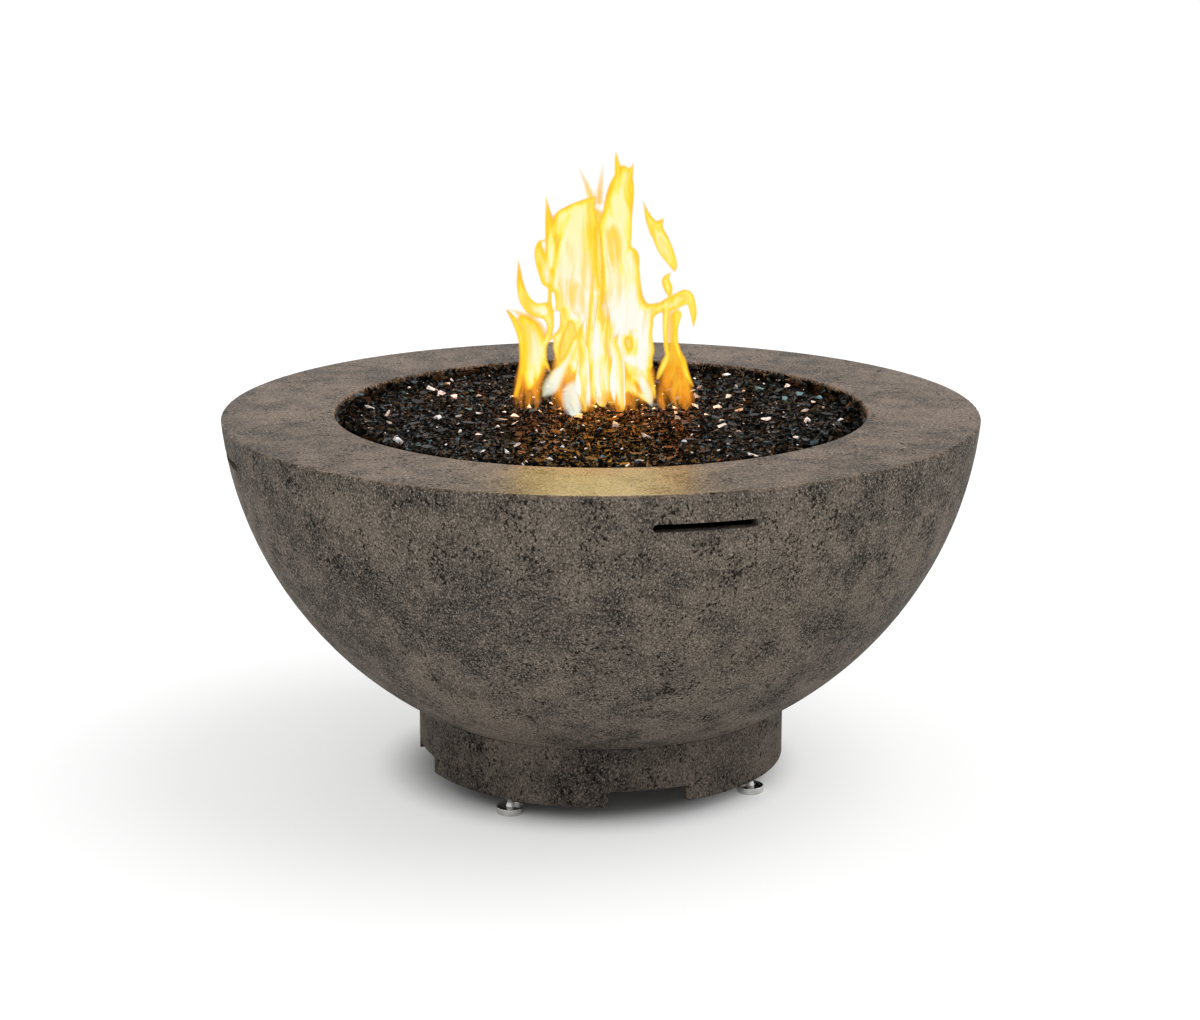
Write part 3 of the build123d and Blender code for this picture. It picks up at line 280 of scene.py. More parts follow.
    def principled(self, **inputs: Feed) -> Socket:
        """Shader of a solid surface, with its inputs by name."""
        return self.node("ShaderNodeBsdfPrincipled", **inputs).outputs["BSDF"]

    def emission(self, **inputs: Feed) -> Socket:
        """Shader of something that shines, with its inputs by name."""
        return self.node("ShaderNodeEmission", **inputs).outputs[0]


class Effects:
    """Effects that several finishes share, each a node group that is built at its first use."""

    SOCKETS = {"vector": "NodeSocketVector", "value": "NodeSocketFloat"}
    PATCHES_TO_CLOUD = 3.4
    PATCH_SHARE = 0.55
    CLOUDS: Band = (0.39, 0.61)
    GATHERINGS = 17.0
    GATHERED_SHARE = 0.42
    GATHERED_AWAY: Point = (0.7, 0.2, 0.4)
    DASHES_TO_MARK = 0.6
    PITS: Band = (0.615, 0.575)
    SPECKS_TO_MARK = 0.8
    SPECKS_AWAY: Point = (0.31, 0.77, 0.13)
    SPECKS: Band = (0.52, 0.70)
    GRAINS_TO_MARK = 1.25
    STREAK_DRAW = 14.0
    SMUDGE_SCALE = 60.0
    SMUDGES: Band = (0.4, 0.65)

    @staticmethod
    def _start(name: str, inputs: dict[str, str], outputs: tuple[str, ...]) -> tuple[Shade, Node, Node]:
        """Make an empty group.

        Args:
            name: The group's name.
            inputs: Input names, with vector or value for each.
            outputs: Names of the values that it puts out.

        Returns:
            The tree, its input node and its output node.
        """
        tree = bpy.data.node_groups.new(name, "ShaderNodeTree")
        for key, kind in inputs.items():
            tree.interface.new_socket(name=key, in_out="INPUT", socket_type=Effects.SOCKETS[kind])
        for key in outputs:
            tree.interface.new_socket(name=key, in_out="OUTPUT", socket_type="NodeSocketFloat")
        shade = Shade(tree)
        return shade, shade.node("NodeGroupInput"), shade.node("NodeGroupOutput")

    @classmethod
    @cache
    def cast_surface(cls) -> Tree:
        """Skin of cast concrete: cloudy patches, fine grain, gathered dark pits and pale specks.

        Returns:
            The group, which puts out Clouds, Grain, Pits and Specks.
        """
        shade, given, result = cls._start(
            "cast_surface",
            {"Vector": "vector", "Mark Vector": "vector", "Cloud Scale": "value", "Mark Scale": "value"},
            ("Clouds", "Grain", "Pits", "Specks"),
        )
        place, marks, cloud_scale, mark_scale = given.outputs[:4]
        scales = [
            shade.math("MULTIPLY", mark_scale, factor)
            for factor in (cls.DASHES_TO_MARK, cls.SPECKS_TO_MARK, cls.GRAINS_TO_MARK)
        ]
        broad = shade.noise(place, cloud_scale, 3.0, 0.55)
        patch = shade.noise(place, shade.math("MULTIPLY", cloud_scale, cls.PATCHES_TO_CLOUD), 5.0, 0.66)
        broad = shade.math("MULTIPLY", broad, 1 - cls.PATCH_SHARE)
        clouds = shade.math("ADD", broad, shade.math("MULTIPLY", patch, cls.PATCH_SHARE))
        gathered = shade.noise(shade.move(place, cls.GATHERED_AWAY), cls.GATHERINGS, 3.0, 0.6)
        dash = shade.noise(marks, scales[0], 3.0, 0.65)
        pits = shade.math("ADD", dash, shade.math("MULTIPLY", gathered, cls.GATHERED_SHARE))
        speck = shade.noise(shade.move(marks, cls.SPECKS_AWAY), scales[1], 2.0, 0.6)
        shade.feed(result.inputs["Clouds"], shade.span(clouds, *cls.CLOUDS))
        shade.feed(result.inputs["Grain"], shade.noise(marks, scales[2], 3.0, 0.68))
        shade.feed(result.inputs["Pits"], shade.span(pits, *cls.PITS))
        shade.feed(result.inputs["Specks"], shade.span(speck, *cls.SPECKS))
        return shade.tree

    @classmethod
    @cache
    def tool_marks(cls) -> Tree:
        """Fine streaks and smudges of worked metal.

        Returns:
            The group, which puts out Streaks and Smudges.
        """
        shade, given, result = cls._start(
            "tool_marks", {"Vector": "vector", "Streak Scale": "value"}, ("Streaks", "Smudges")
        )
        place, streak_scale = given.outputs[:2]
        lines = shade.stretch(place, (1.0, 1.0, cls.STREAK_DRAW))
        smudges = shade.noise(place, cls.SMUDGE_SCALE, 4.0, 0.6)
        shade.feed(result.inputs["Streaks"], shade.noise(lines, streak_scale, 3.0, 0.6))
        shade.feed(result.inputs["Smudges"], shade.span(smudges, *cls.SMUDGES))
        return shade.tree


class Finish:
    """A surface finish that makes its Blender material once."""

    name: str

    @cache
    def material(self) -> bpy.types.Material:
        """The finish's material.

        Returns:
            The material, made at the first call.
        """
        material = bpy.data.materials.new(self.name)
        material.use_nodes = True
        material.node_tree.nodes.clear()
        shade = Shade(material.node_tree)
        shade.node("ShaderNodeOutputMaterial", Surface=self.surface(shade))
        return material

    def surface(self, shade: Shade) -> Socket:
        """Build the surface shader in a material's tree, and give its socket."""
        raise NotImplementedError

    def dress(self, *objects: Object) -> None:
        """Give the finish to whole objects.

        Args:
            objects: The pieces to dress.
        """
        for obj in objects:
            obj.data.materials.clear()
            obj.data.materials.append(self.material())


@dataclass(frozen=True)
class Skin:
    """Colours of one kind of cast surface."""

    tan: Colour
    dark: Colour
    # colour of the dark grain, and painted shade in the pits
    pit_shade_and_dark_grain: Colour
    speck: Colour


class Cast(Enum):
    """The surfaces that the castings show: the side is darker than the top and the base darker still, partly
    their own tone and partly painted shade.
    """

    SIDE = Skin(screen(107, 98, 89), screen(59, 57, 53), screen(8, 8, 7), screen(172, 158, 144))
    TOP = Skin(screen(116, 102, 90), screen(60, 54, 48), screen(4, 4, 3), screen(196, 177, 157))
    # colours of the base, partly painted shade of the base under the bowl
    BASE = Skin(screen(96, 88, 80), screen(54, 51, 48), screen(8, 8, 7), screen(140, 128, 116))


@dataclass(frozen=True)
class Concrete(Finish):
    """Coated cast concrete with clouds, grain, upright pits and specks, paler on a casting's top; part of the
    darker side colours is painted shade.
    """

    name: str
    skin: Cast
    top_level: float | None = None
    top_band: Band = (0.005, 0.001)
    inner_radius: float = 0.5
    cloud_scale: float = 6.0
    mark_scale: float = 330.0
    top_mark_scale: float = 210.0
    upright: float = 0.72
    grain: float = 0.88
    top_grain: float = 0.66
    pale_grain: Band = (0.50, 0.70)
    dark_grain: Band = (0.48, 0.30)
    speck_share: float = 0.25
    pit_share: float = 0.85
    roughness: float = 0.62
    top_roughness: float = 0.36
    rough_swing: float = 0.05
    gloss: float = 0.02
    grain_rise: float = 0.5
    bump: float = 0.7
    relief: float = 0.0012

    def marks(self, shade: Shade, scale: float) -> Node:
        """Marks of the cast surface.

        Args:
            shade: The material's tree.
            scale: Marks to a metre.

        Returns:
            The node that puts them out.
        """
        place = shade.place()
        return shade.group(
            Effects.cast_surface(), Vector=place, Mark_Vector=shade.stretch(place, (1.0, 1.0, self.upright)),
            Cloud_Scale=self.cloud_scale, Mark_Scale=scale,
        )

    def paint(self, shade: Shade, marks: Node, skin: Skin, amount: float) -> Socket:
        """Colour of one surface.

        Args:
            shade: The material's tree.
            marks: The cast surface's marks.
            skin: Its colours.
            amount: How strong its grain is.

        Returns:
            The colour's socket.
        """
        clouds, grain, pits, specks = (marks.outputs[key] for key in ("Clouds", "Grain", "Pits", "Specks"))
        colour = shade.mix(clouds, skin.dark, skin.tan)
        layers = (
            (shade.math("MULTIPLY", specks, self.speck_share), skin.speck),
            (shade.span(grain, *self.pale_grain, 0.0, amount), skin.speck),
            (shade.span(grain, *self.dark_grain, 0.0, amount), skin.pit_shade_and_dark_grain),
            # painted shade: the pits darken towards near black
            (shade.math("MULTIPLY", pits, self.pit_share), skin.pit_shade_and_dark_grain),
        )
        for share, over in layers:
            colour = shade.mix(share, colour, over)
        return colour

    def top(self, shade: Shade) -> Socket:
        """Where the casting shows its top: at its upper edge and round its opening.

        Args:
            shade: The material's tree.

        Returns:
            A socket that is 1 there and 0 elsewhere.
        """
        place = shade.place()
        height = shade.node("ShaderNodeSeparateXYZ", Vector=place).outputs["Z"]
        upper = shade.span(height, *(self.top_level - under for under in self.top_band))
        inner = shade.math("LESS_THAN", shade.off_axis(place), self.inner_radius)
        return shade.math("MAXIMUM", upper, inner)

    def surface(self, shade: Shade) -> Socket:
        """Build the concrete shader.

        Args:
            shade: The material's tree.

        Returns:
            The shader's socket.
        """
        marks = self.marks(shade, self.mark_scale)
        colour = self.paint(shade, marks, self.skin.value, self.grain)
        rough: Feed = self.roughness
        if self.top_level is not None:
            top = self.top(shade)
            top_marks = self.marks(shade, self.top_mark_scale)
            colour = shade.mix(top, colour, self.paint(shade, top_marks, Cast.TOP.value, self.top_grain))
            rough = shade.span(top, 0.0, 1.0, self.roughness, self.top_roughness)
        pits, grain = marks.outputs["Pits"], marks.outputs["Grain"]
        rough = shade.math("ADD", rough, shade.span(grain, *NOISE, -self.rough_swing, self.rough_swing))
        height = shade.math("SUBTRACT", shade.math("MULTIPLY", grain, self.grain_rise), pits)
        return shade.principled(
            Base_Color=colour, Roughness=rough, Specular_IOR_Level=self.gloss,
            Normal=shade.bump(height, self.bump, self.relief),
        )


@dataclass(frozen=True)
class Metal(Finish):
    """Worked metal with fine streaks and smudges."""

    name: str
    colour: Colour
    shadow: Colour
    roughness: float
    streak_scale: float = 260.0
    relief: float = 0.00012
    smudge_share: float = 0.6
    rough_swing: Band = (-0.06, 0.1)
    bump: float = 0.35

    def surface(self, shade: Shade) -> Socket:
        """Build the metal shader.

        Args:
            shade: The material's tree.

        Returns:
            The shader's socket.
        """
        marks = shade.group(Effects.tool_marks(), Vector=shade.place(), Streak_Scale=self.streak_scale)
        streaks, smudges = marks.outputs["Streaks"], marks.outputs["Smudges"]
        colour = shade.mix(shade.math("MULTIPLY", smudges, self.smudge_share), self.colour, self.shadow)
        rough = shade.span(streaks, *NOISE, *(self.roughness + swing for swing in self.rough_swing))
        return shade.principled(
            Base_Color=colour, Metallic=1.0, Roughness=rough,
            Normal=shade.bump(streaks, self.bump, self.relief),
        )


@dataclass(frozen=True)
class Threaded(Finish):
    """Satin steel with a screw thread round an upright axis, over a smooth collar, with painted shade
    darkening the thread towards its roots.
    """

    name: str
    axis: Pair
    pitch: float
    start: float
    depth: float = 0.0007
    colour: Colour = screen(236, 235, 232)
    # colour at the thread's roots: painted shade in the grooves
    root: Colour = screen(120, 118, 114)
    roughness: float = 0.36
    rough_swing: Band = (-0.05, 0.1)
    metallic: float = 0.5
    streak_scale: float = 200.0
    bump: float = 0.8

    def surface(self, shade: Shade) -> Socket:
        """Build the thread's shader.

        Args:
            shade: The material's tree.

        Returns:
            The shader's socket.
        """
        centred = shade.move(shade.place(), (-self.axis[0], -self.axis[1], 0.0))
        x, y, z = shade.node("ShaderNodeSeparateXYZ", Vector=centred).outputs
        turn = shade.math("ARCTAN2", y, x)
        climb = shade.math("MULTIPLY", z, 2 * math.pi / self.pitch)
        ridge = shade.step("ShaderNodeMath", {"operation": "SINE"}, shade.math("SUBTRACT", climb, turn))
        smooth_part = shade.span(z, self.start + self.pitch, self.start)
        height = shade.math("MAXIMUM", shade.span(ridge.outputs[0], -1.0, 1.0), smooth_part)
        marks = shade.group(Effects.tool_marks(), Vector=centred, Streak_Scale=self.streak_scale)
        rough_ends = (self.roughness + swing for swing in self.rough_swing)
        # painted shade: the colour darkens from crest to root of the thread
        return shade.principled(
            Base_Color=shade.mix(height, self.root, self.colour), Metallic=self.metallic,
            Roughness=shade.span(marks.outputs["Streaks"], *NOISE, *rough_ends),
            Normal=shade.bump(height, self.bump, self.depth),
        )


@dataclass(frozen=True)
class SeatPlastic(Finish):
    """White sealing plastic with a faint mottle."""

    name: str = "seat_plastic"
    colour: Colour = screen(236, 236, 230)
    shade_colour: Colour = screen(214, 212, 204)
    streak_scale: float = 90.0
    roughness: float = 0.45

    def surface(self, shade: Shade) -> Socket:
        """Build the plastic shader.

        Args:
            shade: The material's tree.

        Returns:
            The shader's socket.
        """
        marks = shade.group(Effects.tool_marks(), Vector=shade.place(), Streak_Scale=self.streak_scale)
        colour = shade.mix(marks.outputs["Smudges"], self.colour, self.shade_colour)
        return shade.principled(Base_Color=colour, Roughness=self.roughness)


@dataclass(frozen=True)
class FireGlassFinish(Finish):
    """Broken tempered glass, each piece with its own tint."""

    name: str
    tints: Stops
    roughness: float
    gloss: float = 0.015
    sheen: Colour = (1.0, 0.93, 0.72)
    cloud_scale: float = 160.0
    cloud_swing: Band = (0.5, 1.4)
    rough_scale: float = 90.0
    rough_band: Band = (0.35, 0.7)
    rough_swing: float = 0.12

    def surface(self, shade: Shade) -> Socket:
        """Build the glass shader.

        Args:
            shade: The material's tree.

        Returns:
            The shader's socket.
        """
        place = shade.place()
        tint = shade.ramp(shade.attribute("tint"), self.tints, steps=True)
        cloud = shade.span(shade.noise(place, self.cloud_scale, 3.0, 0.6), *NOISE, *self.cloud_swing)
        colour = shade.vectors("SCALE", tint)
        shade.feed(colour.inputs["Scale"], cloud)
        ends = (self.roughness, self.roughness + self.rough_swing)
        return shade.principled(
            Base_Color=colour.outputs[0],
            Roughness=shade.span(shade.noise(place, self.rough_scale), *self.rough_band, *ends),
            Specular_IOR_Level=self.gloss, Specular_Tint=self.sheen,
        )


@dataclass(frozen=True)
class GlassBed(Finish):
    """The bed under the loose pieces: black depth, with its larger pieces in dark tints."""

    name: str = "glass_bed"
    depth: Colour = (0.004, 0.0035, 0.003)
    brown: Colour = (0.020, 0.013, 0.007)
    teal: Colour = (0.016, 0.024, 0.026)
    cell_scale: float = 26.0
    brown_cells: Band = (0.42, 0.50)
    teal_cells: Band = (0.56, 0.60)
    grit_scale: float = 220.0
    roughness: Band = (0.12, 0.34)
    gloss: float = 0.03
    bump: float = 0.5
    relief: float = 0.0015

    def surface(self, shade: Shade) -> Socket:
        """Build the shader of the bed.

        Args:
            shade: The material's tree.

        Returns:
            The shader's socket.
        """
        place = shade.place()
        cells = shade.noise(place, self.cell_scale, 1.0)
        grit = shade.noise(place, self.grit_scale, 3.0, 0.7)
        colour = shade.mix(shade.span(cells, *self.brown_cells), self.depth, self.brown)
        colour = shade.mix(shade.span(cells, *self.teal_cells), colour, self.teal)
        return shade.principled(
            Base_Color=colour, Roughness=shade.span(grit, *NOISE, *self.roughness),
            Specular_IOR_Level=self.gloss, Normal=shade.bump(grit, self.bump, self.relief),
        )


@dataclass(frozen=True)
class FlameFinish(Finish):
    """Burning gas: pale inside, yellow towards its rim, orange where it thins out.

    The mesh holds rim, the depth of each point inside the flame's rim, and rise, its height over the glass.
    """

    name: str
    rim_stops: Stops
    depth: float
    body: Band
    root: Colour
    root_height: float
    foot: Band
    feather: float = 0.0042
    streak: Colour = (1.0, 0.68, 0.03)
    streaks: float = 0.9
    cooling: float = 0.9
    cooled: Colour = (1.0, 0.96, 0.44)
    seen_strength: float = 1.0
    mirrored_strength: Band = (4.4, 7.4)
    mirrored_near: Colour = (1.0, 0.50, 0.15)
    mirrored_far: Colour = (1.0, 0.92, 0.69)
    mirrored_reach: Band = (0.42, 0.47)
    bend_scale: float = 9.0
    bend_reach: Point = (0.05, 0.05, 0.0)
    flow_scale: float = 60.0
    flow_draw: Point = (1.0, 1.0, 0.2)
    flow_swing: Band = (0.4, 1.5)
    streak_scale: float = 46.0
    streak_draw: Point = (1.0, 1.0, 0.12)
    streak_away: Point = (0.3, 0.1, 0.0)
    streak_band: Band = (0.44, 0.68)
    streak_rise: Band = (0.02, 0.25)
    streak_least: float = 0.5
    cold_rise: Band = (0.13, 0.34)
    cold_reach: Band = (0.06, 0.13)
    root_swing: float = 0.025
    root_full: float = 0.2
    root_share: float = 0.95
    outside: float = -0.0012

    def colour(self, shade: Shade, bent: Socket, flow: Socket, low: Socket) -> Socket:
        """Colour of the gas.

        Args:
            shade: The material's tree.
            bent: Place in the bent flow.
            flow: Noise that is drawn out along the flow.
            low: Uneven height over the glass.

        Returns:
            The colour's socket.
        """
        rise = shade.attribute("rise")
        inside = shade.math("DIVIDE", shade.attribute("rim"), self.depth)
        level = shade.math("MULTIPLY", inside, shade.span(flow, *NOISE, *self.flow_swing), clamp=True)
        colour = shade.ramp(level, self.rim_stops)
        drawn = shade.stretch(bent, self.streak_draw, self.streak_away)
        lines = shade.noise(drawn, self.streak_scale, 2.0, 0.55)
        higher = shade.span(rise, *self.streak_rise, self.streak_least, 1.0)
        streaked = shade.math("MULTIPLY", shade.span(lines, *self.streak_band), higher)
        colour = shade.mix(shade.math("MULTIPLY", streaked, self.streaks), colour, self.streak)
        aside = shade.span(shade.off_axis(shade.place()), *self.cold_reach)
        cold = shade.math("MAXIMUM", shade.span(rise, *self.cold_rise), aside)
        colour = shade.mix(shade.math("MULTIPLY", cold, self.cooling), colour, self.cooled, "MULTIPLY")
        rooted = shade.span(low, self.root_height, self.root_height * self.root_full, 0.0, self.root_share)
        return shade.mix(rooted, colour, self.root)

    def shine(self, shade: Shade, colour: Socket) -> Socket:
        """Light of the gas: plain to look at, warmer and stronger in what mirrors it.

        Args:
            shade: The material's tree.
            colour: The gas's colour.

        Returns:
            The light's socket.
        """
        path = shade.node("ShaderNodeLightPath")
        seen = path.outputs["Is Camera Ray"]
        far = shade.span(path.outputs["Ray Length"], *self.mirrored_reach)
        warm = shade.mix(1.0, colour, shade.mix(far, self.mirrored_near, self.mirrored_far), "MULTIPLY")
        mirrored = shade.span(far, 0.0, 1.0, *self.mirrored_strength)
        strength = shade.span(seen, 0.0, 1.0, mirrored, self.seen_strength)
        return shade.emission(Color=shade.mix(seen, warm, colour), Strength=strength)

    def surface(self, shade: Shade) -> Socket:
        """Build the flame shader.

        Args:
            shade: The material's tree.

        Returns:
            The shader's socket.
        """
        place = shade.place()
        bend = shade.node("ShaderNodeTexNoise", Vector=place, Scale=self.bend_scale, Detail=1.0)
        bent = shade.vectors("MULTIPLY_ADD", bend.outputs["Color"], self.bend_reach, place).outputs[0]
        flow = shade.noise(shade.stretch(bent, self.flow_draw), self.flow_scale, 3.0, 0.55)
        swing = shade.span(flow, *NOISE, -self.root_swing, self.root_swing)
        low = shade.math("ADD", shade.attribute("rise"), swing)
        edge = shade.span(shade.attribute("rim"), self.outside, self.feather)
        shown = shade.math("MULTIPLY", edge, shade.span(low, *self.foot))
        alpha = shade.math("MULTIPLY", shown, shade.span(flow, *NOISE, *self.body))
        clear = shade.node("ShaderNodeBsdfTransparent").outputs[0]
        shine = self.shine(shade, self.colour(shade, bent, flow, low))
        return shade.step("ShaderNodeMixShader", {}, alpha, clear, shine).outputs[0]


@dataclass(frozen=True)
class Glow(Finish):
    """Warm light of the flame, as the things round it receive it."""

    name: str = "flame_glow"
    colour: Colour = (1.0, 0.49, 0.13)
    strength: float = 10.0

    def surface(self, shade: Shade) -> Socket:
        """Build the light's shader in a material's tree, and give its socket."""
        return shade.emission(Color=self.colour, Strength=self.strength)


@dataclass(frozen=True)
class StudioFloor(Finish):
    """Pale studio floor with painted light: a glow that only camera and mirror rays see lightens its shadow.
    There is none at the base and more further out, over a darker colour than the one it bounces.
    """

    name: str = "studio_floor"
    colour: Colour = (0.85, 0.85, 0.85)
    # colour that camera and mirror rays see, darker than the bounced colour; with the painted light it sets
    # the shadow's tone
    seen: Colour = (0.638, 0.638, 0.638)
    lift: float = 0.473
    painted_light_from: Band = (0.24, 0.37)
    painted_light_middle: Pair = (-0.020, 0.016)

    def surface(self, shade: Shade) -> Socket:
        """Build the floor's shader.

        Args:
            shade: The material's tree.

        Returns:
            The shader's socket.
        """
        bounced = shade.node("ShaderNodeLightPath").outputs["Is Diffuse Ray"]
        aside = shade.move(shade.place(), (-self.painted_light_middle[0], -self.painted_light_middle[1], 0.0))
        # painted light: the floor's glow, none under the base, full further out
        lit = shade.span(shade.off_axis(aside), *self.painted_light_from, 0.0, self.lift)
        glow = shade.emission(Strength=shade.span(bounced, 0.0, 1.0, lit, 0.0))
        plain = shade.node("ShaderNodeBsdfDiffuse", Color=shade.mix(bounced, self.seen, self.colour))
        return shade.step("ShaderNodeAddShader", {}, glow, plain.outputs[0]).outputs[0]


SATIN_STEEL = Metal("satin_steel", screen(206, 205, 202), screen(176, 175, 171), 0.22)
ZINC_STEEL = Metal("zinc_steel", screen(156, 156, 153), screen(112, 110, 105), 0.38)
STAINLESS = Metal("stainless", screen(182, 182, 180), screen(126, 120, 112), 0.34, 320.0)
BRASS = Metal("brass", screen(206, 170, 96), screen(142, 106, 54), 0.28)
CHROME = Metal("chrome", screen(172, 173, 177), screen(128, 130, 135), 0.16, 420.0, 0.00006)
SEATS = SeatPlastic()
SIDE = Concrete("concrete_side", Cast.SIDE)
RIM = Concrete("concrete_rim", Cast.SIDE)
BASE = Concrete("concrete_base", Cast.BASE)


@dataclass
class ConcreteBody:
    """The three castings, which keep their own solids."""

    finishes: dict[str, Finish] = field(
        default_factory=lambda: {"bowl_shell": SIDE, "rim_ring": RIM, "base_ring": BASE}
    )

    def dress(self) -> None:
        """Give each casting its finish."""
        for node, finish in self.finishes.items():
            if finish is RIM:
                finish = replace(RIM, top_level=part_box(node)[1].z)
            finish.dress(frame["nodes"][node])
            log.info("dressed %s in %s", node, finish.name)


@dataclass
class LevellingFeet:
    """Four swivel cups with threaded studs."""

    count: int = 4
    thread_pitch: float = 25.4 / 16 * MM
    collar_top: float = 16.5 * MM

    def dress(self) -> None:
        """Give the cups satin steel and the studs a thread."""
        for number in range(1, self.count + 1):
            SATIN_STEEL.dress(frame["nodes"][f"foot_pad_{number}"])
            low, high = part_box(f"foot_stud_{number}")
            middle = (low + high) / 2
            thread = Threaded(f"thread_{number}", (middle.x, middle.y), self.thread_pitch, self.collar_top)
            thread.dress(frame["nodes"][f"foot_stud_{number}"])
            log.info("dressed foot %d", number)


@dataclass
class GasTrain:
    """Burner, mixer, valve and lines inside the bowl, and the fasteners of the castings."""

    finishes: dict[Finish, tuple[str, ...]] = field(
        default_factory=lambda: {
            ZINC_STEEL: (
                "base_bolts", "base_washers", "base_nuts", "pan_washers", "pan_lock_nut", "wall_nut",
                "inlet_bracket", "bracket_screws", "shutter_screw", "key_sleeve", "burner_nipple",
            ),
            STAINLESS: ("burner_pan", "star_burner", "flex_line_upper", "flex_line_lower"),
            BRASS: (
                "air_mixer", "air_shutter", "orifice_spud", "mixer_elbow", "flare_nuts", "valve_body",
                "valve_stem", "packing_nut", "inlet_fitting", "inlet_nut", "foot_inserts",
            ),
            CHROME: ("key_flange", "valve_ball"),
            SEATS: ("valve_seats",),
        }
    )

    def dress(self) -> None:
        """Give each piece its metal."""
        for finish, nodes in self.finishes.items():
            for node in nodes:
                finish.dress(frame["nodes"][node])
                log.info("dressed %s in %s", node, finish.name)


def link_object(name: str, data: bpy.types.ID) -> Object:
    """Put a mesh, a light or a camera into the scene.

    Args:
        name: Name of the object.
        data: What it shows.

    Returns:
        The object.
    """
    made = bpy.data.objects.new(name, data)
    bpy.context.scene.collection.objects.link(made)
    return made


def mesh_object(name: str, vertices: np.ndarray, faces: list[tuple[int, ...]]) -> Object:
    """Make an object from plain lists.

    Args:
        name: Name of the object and its mesh.
        vertices: One row of three numbers for each vertex.
        faces: Vertex numbers of each face.

    Returns:
        The object, in the scene.
    """
    mesh = bpy.data.meshes.new(name)
    mesh.from_pydata([tuple(map(float, v)) for v in vertices], [], faces)
    mesh.update()
    return link_object(name, mesh)


def form_mesh(name: str, form: bmesh.types.BMesh) -> bpy.types.Mesh:
    """Turn a form into a mesh.

    Args:
        name: Name of the mesh.
        form: The form, which is freed.

    Returns:
        The mesh.
    """
    mesh = bpy.data.meshes.new(name)
    form.to_mesh(mesh)
    form.free()
    return mesh


